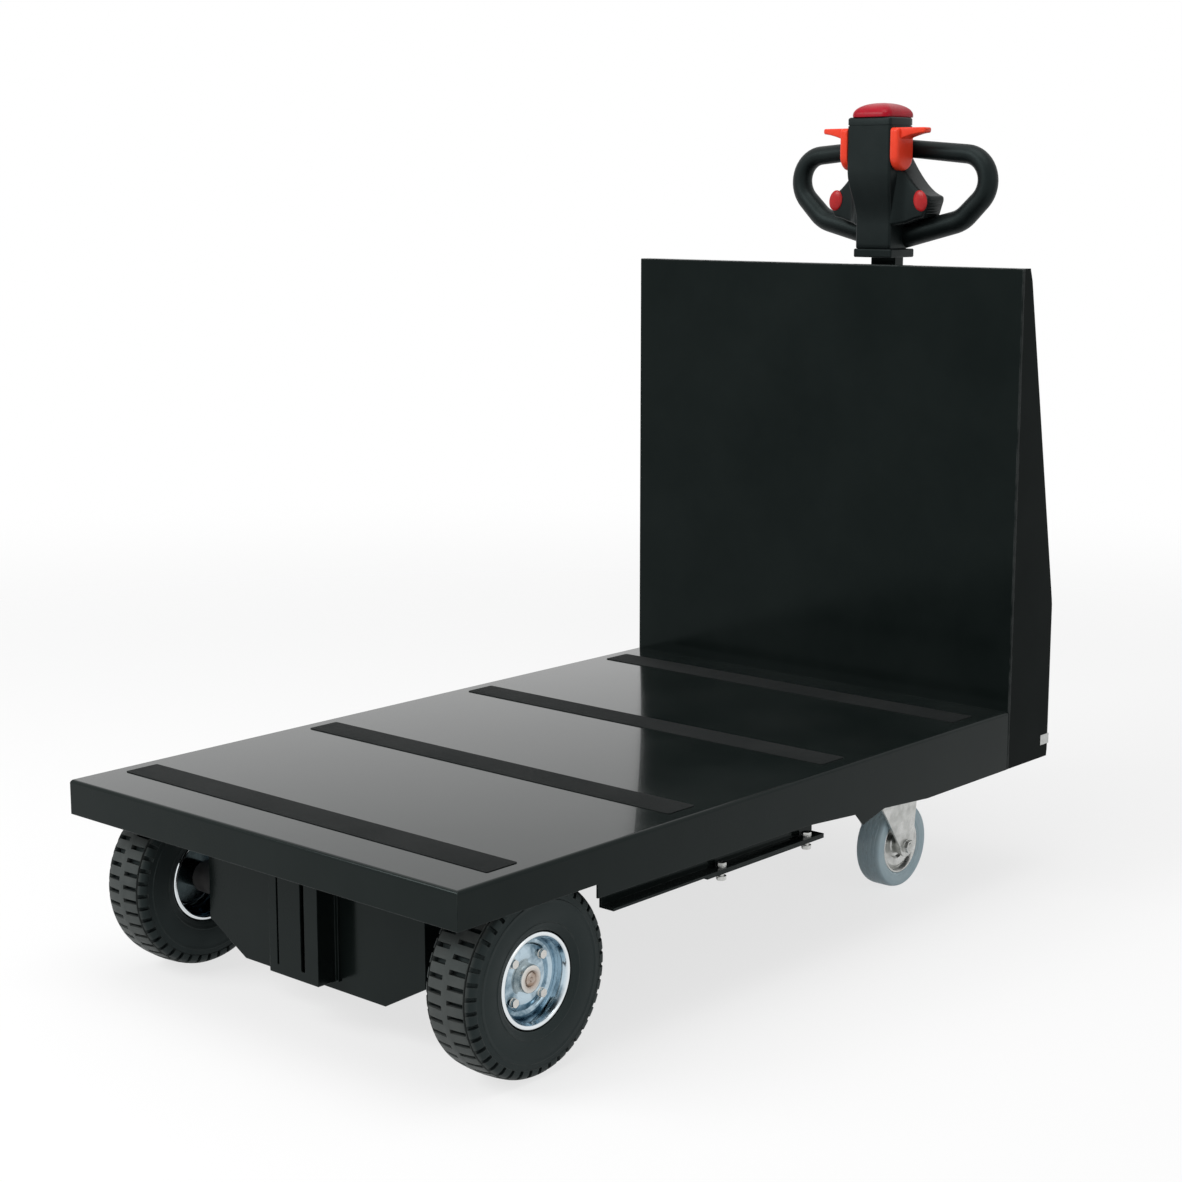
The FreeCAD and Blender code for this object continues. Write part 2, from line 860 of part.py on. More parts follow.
def castor_core(side):
    """Pressed-steel wheel centre: two dished discs closed on a hub tube."""
    half = castor_tyre_width / 2.0
    hub_half = fork_leg_inner - castor_hub_gap
    dish = half - castor_dish_depth
    seat = half - castor_bead_inset
    outline = mirrored_outline([
        (castor_pin_radius + shaft_running_gap, hub_half),
        (castor_hub_radius, hub_half),
        (castor_hub_radius, dish),
        (castor_core_radius - castor_dish_edge, dish),
        (castor_core_radius - castor_bead_inset, seat),
        (castor_core_radius, seat),
    ])
    return revolve_about_x(outline, castor_face(side), castor_wheel_back, castor_radius)


# ---- column ---------------------------------------------------------------------


def column_profile(inset):
    """Side view of the column from the front panel's seam to its slanting rear."""
    seam = column_front + panel_return + panel_seam_gap
    rear = column_rear - inset
    top_rear = column_top_rear - inset
    top = deck_top + column_height - inset
    return [
        (seam, column_bottom),
        (rear - column_foot_chamfer, column_bottom),
        (rear, column_bottom + column_foot_round),
        (rear, deck_top + column_slope_start),
        (top_rear, deck_top + column_slope_top),
        (top_rear - column_top_chamfer, top),
        (seam, top),
    ]


def column_rear_at(height):
    """How far behind the front edge the rear of the column lies at a height."""
    climb = (height - deck_top - column_slope_start) / (column_slope_top - column_slope_start)
    share = min(max(climb, 0.0), 1.0)
    return column_rear + (column_top_rear - column_rear) * share


def backrest_panel():
    """Front sheet of the column, with a narrow return folded back all round."""
    top = deck_top + column_height
    fold = column_front + panel_return
    inside = half_width - sheet
    outer = box(-half_width, half_width, column_front, fold, column_bottom, top)
    hollow = box(-inside, inside, column_front + sheet, fold, column_bottom + sheet, top - sheet)
    return outer.cut(hollow)


def column_cover():
    """Sides, slanting back and top of the column, folded from one sheet."""
    inside = cover_side - sheet
    outer = side_plate(column_profile(0.0), -cover_side, cover_side)
    rear_edges = edges_along(outer, along_z, lambda m: m.y > front_edge + column_rear - near)
    outer = outer.makeFillet(column_bend_radius, rear_edges)
    hollow = side_plate(column_profile(sheet), -inside, inside)
    mouth = box(-inside, inside, column_front, column_rear - column_lip_depth,
                column_bottom - sheet, column_bottom + sheet)
    return outer.cut(hollow).cut(mouth)


def column_floor():
    """Plate that closes the column from below."""
    inside = cover_side - sheet
    start = column_front + panel_return
    end = column_rear - column_lip_depth - column_lip_gap
    return box(-inside, inside, start, end, column_bottom, column_bottom + sheet)


def label_plate():
    """Small blank plate low on the right side of the column."""
    rear = column_rear - plate_from_rear
    high = column_bottom + plate_rise
    outer_face = cover_side + plate_thickness
    return box(cover_side, outer_face, rear - plate_width, rear, high - plate_height, high)


# ---- mast -----------------------------------------------------------------------


def mast():
    """Upright rectangular tube that carries the tiller head."""
    half = mast_width / 2.0
    inside = half - mast_wall
    high = deck_top + mast_top_height
    outer = box(-half, half, mast_front, mast_rear, mast_low, high)
    inner = box(-inside, inside, mast_front + mast_wall, mast_rear - mast_wall, mast_low, high)
    return outer.cut(inner)


def mast_cheeks(outline):
    """Two bracket cheeks, one on each side of the mast."""
    half = mast_width / 2.0
    cheeks = []
    for x in (-half - bracket_gauge, half):
        cheeks.append(side_plate(outline, x, x + bracket_gauge))
    return cheeks


def mast_foot():
    """Welded bracket: a plate on the column, two cheeks and a seat for the mast."""
    low = mast_foot_low
    high = low + foot_bracket_height
    reach = foot_bracket_width / 2.0
    seat_reach = mast_width / 2.0 + bracket_gauge
    plate = box(-reach, reach, column_rear, column_rear + bracket_gauge, low, high)
    seat = box(-seat_reach, seat_reach, column_rear, mast_rear, low, low + bracket_gauge)
    cheeks = mast_cheeks([
        (column_rear, low),
        (mast_rear, low),
        (mast_rear, low + foot_cheek_height),
        (column_rear, high),
    ])
    return fused([plate, seat] + cheeks)


def mast_stay():
    """Upper bracket from the slanting back of the column to the mast."""
    low = deck_top + stay_centre_height - stay_bracket_height / 2.0
    high = low + stay_bracket_height
    low_back = column_rear_at(low)
    high_back = column_rear_at(high)
    plate = side_plate([
        (low_back, low),
        (low_back + bracket_gauge, low),
        (high_back + bracket_gauge, high),
        (high_back, high),
    ], -stay_bracket_width / 2.0, stay_bracket_width / 2.0)
    cheeks = mast_cheeks([
        (low_back, low),
        (mast_rear, low + stay_cheek_taper),
        (mast_rear, high - stay_cheek_taper),
        (high_back, high),
    ])
    return fused([plate] + cheeks)


# ---- tiller head ----------------------------------------------------------------


def head_base():
    """Clamp block that holds the head on the mast."""
    half = clamp_width / 2.0
    half_mast = mast_width / 2.0
    high = deck_top + head_foot_height
    low = high - clamp_height
    centre = mast_back - clamp_ahead_of_mast
    block = box(-half, half, centre - clamp_depth / 2.0, centre + clamp_depth / 2.0, low, high)
    block = block.makeFillet(clamp_round, edges_along(block, along_z, lambda m: True))
    socket = box(-half_mast, half_mast, mast_front, mast_rear, low, deck_top + mast_top_height)
    return block.cut(socket)


def head_curve(x, setback, foot, top):
    """Front edge of the head from its foot up: a straight spine, an S bend, a straight top.

    The two arcs of the bend share one radius and meet half way, each square to the spine.
    """
    low = deck_top + head_curve_foot_height
    high = deck_top + head_curve_top_height
    middle = (low + high) / 2.0
    half_run = (high - low) / 2.0
    radius = (half_run ** 2 + (setback / 2.0) ** 2) / setback
    half_turn = math.asin(half_run / radius) / 2.0
    bulge = radius - radius * math.cos(half_turn)
    climb = radius * math.sin(half_turn)
    spine_front = head_front + setback
    between = head_front + setback / 2.0
    return [
        Part.LineSegment(at(x, spine_front, foot), at(x, spine_front, low)).toShape(),
        Part.Arc(at(x, spine_front, low), at(x, spine_front - bulge, low + climb),
                 at(x, between, middle)).toShape(),
        Part.Arc(at(x, between, middle), at(x, head_front + bulge, high - climb),
                 at(x, head_front, high)).toShape(),
        Part.LineSegment(at(x, head_front, high), at(x, head_front, top)).toShape(),
    ]


def head_body():
    """Moulded body: a tall box whose front bends back to a narrower spine."""
    half = head_width / 2.0
    spine = head_spine_width / 2.0
    foot = deck_top + head_foot_height
    step = deck_top + head_step_height
    top = deck_top + head_top_height
    edges = head_curve(-half, head_spine_setback, foot, top)
    edges.append(Part.makePolygon([
        at(-half, head_front, top),
        at(-half, head_rear, top),
        at(-half, head_rear, foot),
        at(-half, head_front + head_spine_setback, foot),
    ]))
    body = Part.Face(Part.Wire(edges)).extrude(along_x * head_width)
    body = body.makeFillet(head_rear_round, edges_along(
        body, along_z, lambda middle: middle.y > front_edge + head_rear - near))
    for side in (-1.0, 1.0):
        ends = sorted((side * spine, side * head_width))
        body = body.cut(box(ends[0], ends[1], head_front, head_rear, foot, step))
    return body


def head_pods():
    """Switch pods on both sides of the spine, sloping down from the body."""
    pods = []
    body = head_body()
    start = head_front + pod_front_setback
    inner = head_spine_width / 2.0
    low = deck_top + pod_low_height
    shoulder = deck_top + pod_shoulder_height
    for side in (-1.0, 1.0):
        pod = front_plate([
            (side * inner, low - pod_root_drop),
            (side * (pod_half_width - pod_foot_chamfer_across), low),
            (side * pod_half_width, low + pod_foot_chamfer_up),
            (side * pod_half_width, deck_top + pod_corner_height),
            (side * (head_width / 2.0 + pod_shoulder_reach), shoulder),
            (side * inner, shoulder),
        ], start, start + pod_depth)
        pods.append(pod.cut(body))
    return Part.makeCompound(pods)


def side_buttons():
    """Round-topped travel buttons on the front of the pods."""
    back = head_front + pod_front_setback
    height = deck_top + pod_button_height
    rise = pod_button_proud
    ball_radius = (pod_button_radius ** 2 + rise ** 2) / (2.0 * rise)
    buttons = []
    for side in (-1.0, 1.0):
        x = side * pod_button_from_centre
        ball = Part.makeSphere(ball_radius, at(x, back + ball_radius - rise, height))
        ahead = cylinder_y(ball_radius, back - ball_radius, back, x, height)
        buttons.append(ball.common(ahead))
    return Part.makeCompound(buttons)


def reversing_button():
    """Cushioned belly button on top of the head, crowned like part of a ball."""
    half = reverse_button_width / 2.0
    low = deck_top + head_top_height
    high = low + reverse_button_rise
    centre = head_front + head_depth / 2.0
    start = centre - reverse_button_depth / 2.0
    crown = reverse_button_rise - reverse_side_rise
    ball_radius = (half ** 2 + crown ** 2) / (2.0 * crown)
    block = box(-half, half, start, start + reverse_button_depth, low, high)
    block = block.makeFillet(reverse_corner_round, edges_along(block, along_z, lambda m: True))
    return block.common(Part.makeSphere(ball_radius, at(0.0, centre, high - ball_radius)))


def thumb_levers():
    """Butterfly levers: a flat-topped disc on each side of the head with a wing outwards."""
    levers = []
    top = deck_top + lever_top_height
    low = top - lever_disc_height
    height = low + lever_disc_radius
    face = head_width / 2.0 + lever_gap
    outer_face = face + lever_disc_thickness
    root = face + lever_disc_thickness / 2.0
    for side in (-1.0, 1.0):
        ends = sorted((side * face, side * outer_face))
        disc = cylinder_x(lever_disc_radius, ends[0], ends[1], lever_back, height)
        upper = box(ends[0], ends[1], lever_back - lever_disc_radius,
                    lever_back + lever_disc_radius, height, top)
        disc = fused([disc, upper])
        rim = [edge for edge in disc.Edges
               if abs(edge.BoundBox.XMin - side * outer_face) < near
               and abs(edge.BoundBox.XMax - side * outer_face) < near
               and edge.BoundBox.ZMin < top - near]
        disc = disc.makeFillet(lever_round, rim)
        wing = front_plate([
            (side * root, top),
            (side * root, top - lever_wing_root_thickness),
            (side * (lever_wing_tip - lever_tip_chamfer), top - lever_wing_tip_thickness),
            (side * lever_wing_tip, top),
        ], lever_back - lever_wing_depth / 2.0, lever_back + lever_wing_depth / 2.0)
        levers.append(fused([disc, wing]))
    return Part.makeCompound(levers)


# ---- grip loops -----------------------------------------------------------------


def rounded_path(corners, radii):
    """Straight runs joined by tangent arcs, one radius for each inner corner."""
    edges = []
    start = corners[0]
    for number, radius in enumerate(radii, start=1):
        corner = corners[number]
        back_way = (corners[number - 1] - corner).normalize()
        on_way = (corners[number + 1] - corner).normalize()
        half_angle = back_way.getAngle(on_way) / 2.0
        reach = radius / math.tan(half_angle)
        middle_way = (back_way + on_way).normalize()
        arc_start = corner + back_way * reach
        arc_end = corner + on_way * reach
        arc_middle = corner + middle_way * (radius / math.sin(half_angle) - radius)
        edges.append(Part.LineSegment(start, arc_start).toShape())
        edges.append(Part.Arc(arc_start, arc_middle, arc_end).toShape())
        start = arc_end
    edges.append(Part.LineSegment(start, corners[-1]).toShape())
    return Part.Wire(edges)


def grip_path(side):
    """Centre line of one loop: top bar, upright side, slanting side and foot."""
    top = deck_top + grip_top_height - grip_radius
    low = deck_top + grip_low_height + grip_foot_radius
    outer = grip_half_width - grip_radius
    places = [
        (head_width / 2.0 - grip_root_lap, top),
        (outer, top - grip_top_droop),
        (outer, top - grip_side_drop),
        (grip_heel_half_width, low + grip_heel_rise),
        (head_spine_width / 2.0 - grip_root_lap, low),
    ]
    corners = [at(side * x, grip_back, height) for x, height in places]
    return rounded_path(corners, [grip_shoulder_radius, grip_side_radius, grip_heel_radius])


def grip(side):
    """Tubular loop that grows thicker from the top bar down to its foot."""
    path = grip_path(side)
    start = path.Edges[0].Vertexes[0].Point
    foot_run = path.Edges[-1]
    end = foot_run.Vertexes[-1].Point
    foot_way = foot_run.tangentAt(foot_run.LastParameter)
    top_ring = Part.Wire([Part.makeCircle(grip_radius, start, along_x * side)])
    foot_ring = Part.Wire([Part.makeCircle(grip_foot_radius, end, foot_way)])
    tube = path.makePipeShell([top_ring, foot_ring], True, True)
    return tube.cut(head_body()).cut(head_pods()).cut(head_base())


# ---- controls on the rear cover -------------------------------------------------


def rear_disc(x, radius, proud):
    """A round fitting that stands square to the slanting rear cover."""
    run = column_top_rear - column_rear
    rise = column_slope_top - column_slope_start
    normal = Vector(0.0, rise, -run).normalize()
    height = deck_top + control_height
    start = at(x, column_rear_at(height), height)
    return Part.makeCylinder(radius, proud, start, normal)


def key_switch():
    """Key switch barrel on the rear cover, with its key in it."""
    barrel = rear_disc(key_from_centre, key_radius, key_proud)
    key = rear_disc(key_from_centre, key_bow_radius, key_bow_proud)
    return fused([barrel, key])


def charge_gauge():
    """Round battery gauge on the rear cover."""
    return rear_disc(gauge_from_centre, gauge_radius, gauge_proud)


# ---- write every sub-part -------------------------------------------------------

write("deck_pan", deck_pan())
write("deck_beams", deck_beams())
write("grip_strips", grip_strips())
write("front_apron", front_apron())
write("hitch_box", hitch_box())
write("side_rails", side_rails())
write("battery_tray", battery_tray())
write("battery_block", battery_block())
write("tray_bolts", tray_bolts())
write("axle_housing", axle_housing())
write("drive_motor", drive_motor())
write("axle_hangers", axle_hangers())
write("castor_carrier", castor_carrier())
write("backrest_panel", backrest_panel())
write("column_cover", column_cover())
write("column_floor", column_floor())
write("label_plate", label_plate())
write("key_switch", key_switch())
write("charge_gauge", charge_gauge())
write("mast", mast())
write("mast_foot", mast_foot())
write("mast_stay", mast_stay())
write("head_base", head_base())
write("head_body", head_body())
write("head_pods", head_pods())
write("side_buttons", side_buttons())
write("reversing_button", reversing_button())
write("thumb_levers", thumb_levers())
for side_name, side in (("left", -1.0), ("right", 1.0)):
    write("grip_" + side_name, grip(side))
    write("drive_tyre_" + side_name, drive_tyre(side))
    write("drive_rim_" + side_name, drive_rim(side))
    write("drive_hub_" + side_name, drive_hub(side))
    write("castor_plate_" + side_name, castor_plate(side))
    write("castor_fork_" + side_name, castor_fork(side))
    write("castor_axle_" + side_name, castor_axle(side))
    write("castor_tyre_" + side_name, castor_tyre(side))
    write("castor_core_" + side_name, castor_core(side))
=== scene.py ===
import math

import bmesh
import bpy
import numpy as np
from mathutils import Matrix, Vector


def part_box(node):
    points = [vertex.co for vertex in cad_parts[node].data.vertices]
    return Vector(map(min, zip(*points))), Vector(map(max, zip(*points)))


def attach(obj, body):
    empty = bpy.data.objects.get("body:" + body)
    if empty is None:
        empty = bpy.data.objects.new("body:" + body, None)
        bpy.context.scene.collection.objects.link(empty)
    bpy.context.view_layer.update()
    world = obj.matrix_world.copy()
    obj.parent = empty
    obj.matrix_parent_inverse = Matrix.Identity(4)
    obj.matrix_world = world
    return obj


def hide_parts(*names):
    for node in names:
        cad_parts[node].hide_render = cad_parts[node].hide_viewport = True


# Electric platform tow tug: folded and powder-coated sheet steel on two driven
# pneumatic wheels and two castors, with a moulded tiller head on a fixed mast.

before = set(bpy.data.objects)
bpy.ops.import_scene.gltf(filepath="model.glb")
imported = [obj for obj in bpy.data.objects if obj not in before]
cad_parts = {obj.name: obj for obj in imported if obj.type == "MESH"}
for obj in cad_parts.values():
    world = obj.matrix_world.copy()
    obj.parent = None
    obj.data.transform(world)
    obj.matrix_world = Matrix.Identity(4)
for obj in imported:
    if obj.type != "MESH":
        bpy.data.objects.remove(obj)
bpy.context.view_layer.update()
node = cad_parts
scene = bpy.context.scene
scene.view_settings.view_transform = "Standard"


# ---- studio ----
# A pale floor that fades into a white surround, three large soft boxes and a
# camera a little above the grips, off the right front corner of the deck.

studio_white = (1.0, 1.0, 1.0, 1.0)
surround_light = 0.42
floor_reach = 4.6
floor_fade_from = 1.3
floor_shade = (0.62, 0.62, 0.62, 1.0)
floor_seen = (0.97, 0.97, 0.97, 1.0)
floor_glow = 0.72
camera_sensor = 36.0
camera_lens = 68.12
camera_place = (1.9897, -2.2887, 1.0095)
camera_down = 10.236
camera_turn = 41.689

# Each soft box: its place, its target, width, height and power.
soft_boxes = {"key_box": ((-1.9, -3.3, 3.0), (0.0, -0.1, 0.4), 2.4, 2.0, 95.0),
    "top_box": ((0.3, -0.6, 3.8), (0.0, 0.0, 0.2), 2.6, 2.2, 55.0),
    "fill_box": ((3.8, 0.2, 1.9), (0.0, 0.1, 0.5), 1.6, 1.6, 8.0)}


def add(tree, kind, feeds=None, **settings):
    """Add a node; each input takes a plain value or the output that feeds it."""
    made = tree.nodes.new("ShaderNode" + kind)
    for key, value in settings.items():
        setattr(made, key, value)
    for key, value in (feeds or {}).items():
        if isinstance(value, bpy.types.NodeSocket):
            tree.links.new(value, made.inputs[key])
        else:
            made.inputs[key].default_value = value
    return made.outputs


def reckon(tree, operation, *values):
    """One value worked out from one or two others."""
    return add(tree, "Math", dict(enumerate(values)), operation=operation)[0]


def put(name, data):
    """A new object with this data, linked into the scene."""
    made = bpy.data.objects.new(name, data)
    scene.collection.objects.link(made)
    return made


def full_turn(steps):
    """Equal angles once round."""
    return np.linspace(0.0, 2.0 * math.pi, steps, endpoint=False)


def turned(radius, angle, height):
    """Points (r cos a, r sin a, h), with a row for each height and a column for each angle."""
    return np.stack(np.broadcast_arrays(radius * np.cos(angle), radius * np.sin(angle), height), -1)


def seen_ray(tree):
    """A value of 1 for camera, glossy and transmission rays, and 0 for the rest."""
    ray = add(tree, "LightPath")
    first = reckon(tree, "MAXIMUM", ray["Is Camera Ray"], ray["Is Glossy Ray"])
    return reckon(tree, "MAXIMUM", first, ray["Is Transmission Ray"])


def light_surround():
    """World: a soft grey light for the object, white wherever it is seen."""
    scene.world = bpy.data.worlds.new("surround")
    scene.world.use_nodes = True
    tree = scene.world.node_tree
    tree.nodes.clear()
    light = add(tree, "Background", {"Color": studio_white, "Strength": surround_light})
    white = add(tree, "Background", {"Color": studio_white, "Strength": 1.0})
    mix = add(tree, "MixShader", {0: seen_ray(tree), 1: light[0], 2: white[0]})
    add(tree, "OutputWorld", {0: mix[0]})


def lay_floor():
    """Floor disc, points (R cos a, R sin a, 0), whose edge fades out so that no horizon shows.

    Where it is seen, most of it glows white and the rest is lit, so it keeps a soft shadow.
    """
    ring = turned(floor_reach, full_turn(96), 0.0)
    mesh = bpy.data.meshes.new("floor")
    mesh.from_pydata(ring.tolist(), [], [tuple(range(len(ring)))])
    material = bpy.data.materials.new("pale_floor")
    material.use_nodes = True
    tree = material.node_tree
    tree.nodes.clear()
    place = add(tree, "TexCoord")["Object"]
    far = add(tree, "VectorMath", {0: place}, operation="LENGTH")["Value"]
    fade = add(tree, "MapRange", {"Value": far, "From Min": floor_fade_from,
        "From Max": floor_reach}, interpolation_type="SMOOTHERSTEP")
    shade = add(tree, "BsdfDiffuse", {"Color": floor_shade})
    lit = add(tree, "BsdfDiffuse", {"Color": floor_seen})
    glow = add(tree, "Emission", {"Color": studio_white, "Strength": 1.0})
    seen = add(tree, "MixShader", {0: floor_glow, 1: lit[0], 2: glow[0]})
    by_ray = add(tree, "MixShader", {0: seen_ray(tree), 1: shade[0], 2: seen[0]})
    clear = add(tree, "BsdfTransparent")
    by_place = add(tree, "MixShader", {0: fade[0], 1: by_ray[0], 2: clear[0]})
    add(tree, "OutputMaterial", {0: by_place[0]})
    mesh.materials.append(material)
    put("floor", mesh)


def soft_box(name, place, target, width, height, power):
    """A rectangular area lamp at a place, facing a target."""
    lamp = bpy.data.lights.new(name, "AREA")
    lamp.shape = "RECTANGLE"
    lamp.size, lamp.size_y, lamp.energy = width, height, power
    holder = put(name, lamp)
    holder.location = place
    way = np.array(target) - np.array(place)
    holder.rotation_euler = (math.atan2(math.hypot(way[0], way[1]), -way[2]), 0.0,
        math.atan2(way[1], way[0]) - math.pi / 2.0)


def set_camera():
    """Camera with a short telephoto lens, looking down ten degrees."""
    lens = bpy.data.cameras.new("camera")
    lens.sensor_width, lens.lens = camera_sensor, camera_lens
    scene.camera = put("camera", lens)
    scene.camera.location = camera_place
    scene.camera.rotation_euler = (math.radians(90.0 - camera_down), 0.0, math.radians(camera_turn))


light_surround()
lay_floor()
for name, values in soft_boxes.items():
    soft_box(name, *values)
set_camera()


# ---- folded sheet steel: deck, stiffeners, apron, rails, column ----
# Laser-cut and folded 3 mm sheet, welded, then powder coated in one black batch.
# The coat is glossy with a faint orange peel, a little dusty on top and rubbed thin
# along the folds, whose paler colour is also a painted highlight, most on the backrest
# panel. The panel's and the column's copies of the coat reflect less, a painted shade.

coat_dark = (0.0046, 0.007, 0.0066, 1.0)
coat_light = (0.0078, 0.0108, 0.0102, 1.0)
# Paler coat along the folds: rubbed wear, and also a painted highlight.
coat_wear_and_highlight = (0.08, 0.086, 0.085, 1.0)
coat_dust = (0.085, 0.088, 0.085, 1.0)
coat_sheen = (0.78, 1.0, 0.98, 1.0)
sheet_edge_round = 0.0007
corner_weld = 1e-6
flat_within = math.radians(0.5)
rounded_over = math.radians(30.0)


def start_group(name, inputs, outputs):
    """A new shader group with named numbers going in and coming out."""
    group = bpy.data.node_groups.new(name, "ShaderNodeTree")
    for label, value in inputs.items():
        socket = group.interface.new_socket(label, in_out="INPUT", socket_type="NodeSocketFloat")
        socket.default_value = value
    for label in outputs:
        group.interface.new_socket(label, in_out="OUTPUT", socket_type="NodeSocketFloat")
    given = group.nodes.new("NodeGroupInput").outputs
    return group, given, group.nodes.new("NodeGroupOutput").inputs


def spread(tree, value, low, high, start=0.0, end=1.0):
    """Carry a value from start..end over to low..high."""
    return add(tree, "MapRange", {"Value": value, "From Min": start, "From Max": end,
        "To Min": low, "To Max": high})[0]


def make_grain():
    """Group: two noises over the piece, a fine one for texture and a broad one for mottle."""
    group, given, out = start_group("surface_grain", {"Fine Scale": 900.0, "Mottle Scale": 14.0},
        ["Fine", "Mottle"])
    place = add(group, "TexCoord")["Object"]
    for index, detail, roughness in ((0, 2.0, 0.55), (1, 4.0, 0.6)):
        noise = add(group, "TexNoise", {"Vector": place, "Scale": given[index], "Detail": detail,
            "Roughness": roughness})
        group.links.new(noise["Fac"], out[index])
    return group


def make_edge_wear_and_highlight():
    """Group: how far a rounded normal leans from the true one, broken up by a noise."""
    group, given, out = start_group("edge_wear_and_highlight", {"Width": 0.002, "Amount": 0.6, "Breakup": 60.0},
        ["Wear"])
    rounded = add(group, "Bevel", {"Radius": given["Width"]}, samples=4)
    true = add(group, "NewGeometry")["Normal"]
    lean = add(group, "VectorMath", {0: rounded[0], 1: true}, operation="DOT_PRODUCT")
    noise = add(group, "TexNoise", {"Vector": add(group, "TexCoord")["Object"],
        "Scale": given["Breakup"], "Detail": 3.0})
    both = reckon(group, "MULTIPLY", spread(group, lean["Value"], 0.0, 1.0, 0.995, 0.86),
        spread(group, noise["Fac"], 0.0, 1.0, 0.36, 0.62))
    group.links.new(reckon(group, "MULTIPLY", both, given["Amount"]), out["Wear"])
    return group


def make_dust():
    """Group: dust that settles where the surface faces up, in soft patches."""
    group, given, out = start_group("dust", {"Amount": 0.3, "Scale": 9.0}, ["Dust"])
    place = add(group, "TexCoord")
    split = add(group, "SeparateXYZ", {0: place["Normal"]})
    noise = add(group, "TexNoise", {"Vector": place["Object"], "Scale": given["Scale"],
        "Detail": 5.0, "Roughness": 0.65})
    both = reckon(group, "MULTIPLY", spread(group, split["Z"], 0.0, 1.0, 0.1, 0.95),
        spread(group, noise["Fac"], 0.0, 1.0, 0.34, 0.74))
    group.links.new(reckon(group, "MULTIPLY", both, given["Amount"]), out["Dust"])
    return group


surface_grain = make_grain()
edge_wear_and_highlight = make_edge_wear_and_highlight()
dust = make_dust()


def shared(tree, group, *values):
    """Place a shared group in a material, with values for its inputs in their order."""
    return add(tree, "Group", dict(enumerate(values)), node_tree=group)


def blend(tree, factor, first, second):
    """Mix two colours, each a plain colour or a socket, by a factor."""
    return add(tree, "Mix", {0: factor, 6: first, 7: second}, data_type="RGBA")[2]


def sums(tree, total, *others):
    """Add several values together, held between 0 and 1."""
    for value in others:
        total = add(tree, "Math", {0: total, 1: value}, operation="ADD", use_clamp=True)[0]
    return total


def start_material(name, values, fine, mottle):
    """A new material: plain values on its shader, and the shared grain at two scales."""
    material = bpy.data.materials.new(name)
    material.use_nodes = True
    tree = material.node_tree
    for key, value in values.items():
        tree.nodes["Principled BSDF"].inputs[key].default_value = value
    return material, tree, shared(tree, surface_grain, fine, mottle)


def finish_material(material, colour, rough, height, strength, distance):
    """Feed a shader its colour, its roughness and, through a bump node, a height."""
    tree = material.node_tree
    bump = add(tree, "Bump", {"Height": height, "Strength": strength, "Distance": distance})[0]
    for key, value in (("Base Color", colour), ("Roughness", rough), ("Normal", bump)):
        tree.links.new(value, tree.nodes["Principled BSDF"].inputs[key])
    return material


def make_material(name, values, scales, colour, layers, rough, bump, wear=(), dusty=(), matt=()):
    """A material built up in layers over the shared groups.

    A layer is a noise, its spread and a colour, or a function that gives a factor and a colour.
    Wear is a colour, width, amount and breakup for the edges: rubbed wear, which on the
    powder coat is also a painted highlight; dusty is an amount and a scale; matt is what
    the wear and the dust add to the roughness.
    """
    material, tree, grain = start_material(name, values, *scales)
    for source, *span, other in layers:
        factor = source(tree, grain) if callable(source) else spread(tree, grain[source], *span)
        colour = blend(tree, factor, colour, other)
    rough = spread(tree, grain[rough[0]], *rough[1:])
    # Edges: rubbed wear, which on the powder coat is also a painted highlight.
    if wear:
        rubbed = shared(tree, edge_wear_and_highlight, *wear[1:])[0]
        colour = blend(tree, rubbed, colour, wear[0])
    if dusty:
        settled = shared(tree, dust, *dusty)[0]
        colour = blend(tree, settled, colour, coat_dust)
    if matt:
        rough = sums(tree, rough, spread(tree, rubbed, 0.0, matt[0]),
            spread(tree, settled, 0.0, matt[1]))
    return finish_material(material, colour, rough, grain["Fine"], *bump)


def coat_steel(name, gloss, smoothest, roughest, rub_and_highlight_width=0.0016, rubbed=0.55):
    """Black powder coat: mottled gloss, rubbed edges also painted as highlight, light dust, orange
    peel.
    """
    # The pale folds are rubbed coat and also a painted highlight.
    return make_material(name, {"Specular IOR Level": gloss, "Specular Tint": coat_sheen},
        (420.0, 7.0), coat_dark, [("Mottle", 0.0, 1.0, 0.3, 0.7, coat_light)],
        ("Mottle", smoothest, roughest, 0.3, 0.7), (0.1, 0.0004),
        (coat_wear_and_highlight, rub_and_highlight_width, rubbed, 45.0), (0.08, 6.0), (0.2, 0.4))


def polish_top(material, height, amount):
    """Loads have polished what lies at a height: a thin clear gloss there and none below."""
    tree = material.node_tree
    parts = add(tree, "SeparateXYZ", {0: add(tree, "TexCoord")["Object"]})
    gloss = spread(tree, parts["Z"], 0.0, amount, height - 0.001, height - 0.0004)
    tree.links.new(gloss, tree.nodes["Principled BSDF"].inputs["Coat Weight"])
    return material


def rounded_copy(name, width, material, slot, body, suffix="sheet"):
    """A copy of a CAD node: corners welded, flat faces joined, edges over 30 degrees rounded."""
    form = bmesh.new()
    form.from_mesh(node[name].data)
    bmesh.ops.remove_doubles(form, verts=form.verts, dist=corner_weld)
    bmesh.ops.dissolve_limit(form, angle_limit=flat_within, verts=form.verts, edges=form.edges)
    mesh = bpy.data.meshes.new(name + "_" + suffix)
    form.to_mesh(mesh)
    form.free()
    piece = put(name + "_" + suffix, mesh)
    mesh.shade_smooth()
    mesh.set_sharp_from_angle(angle=rounded_over)
    edge = piece.modifiers.new("edge_round", "BEVEL")
    edge.width = width
    edge.segments = 2
    edge.limit_method = "ANGLE"
    edge.angle_limit = rounded_over
    edge.harden_normals = True
    edge.loop_slide = False
    return fit(piece, material, slot, body, name)


def fit(piece, material, slot, body, *stands_for):
    """Give a piece its material and the body it rides on, and hide the nodes it stands for; the
    slot is not used.
    """
    piece.data.materials.clear()
    piece.data.materials.append(material)
    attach(piece, body)
    if stands_for:
        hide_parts(*stands_for)
    return piece


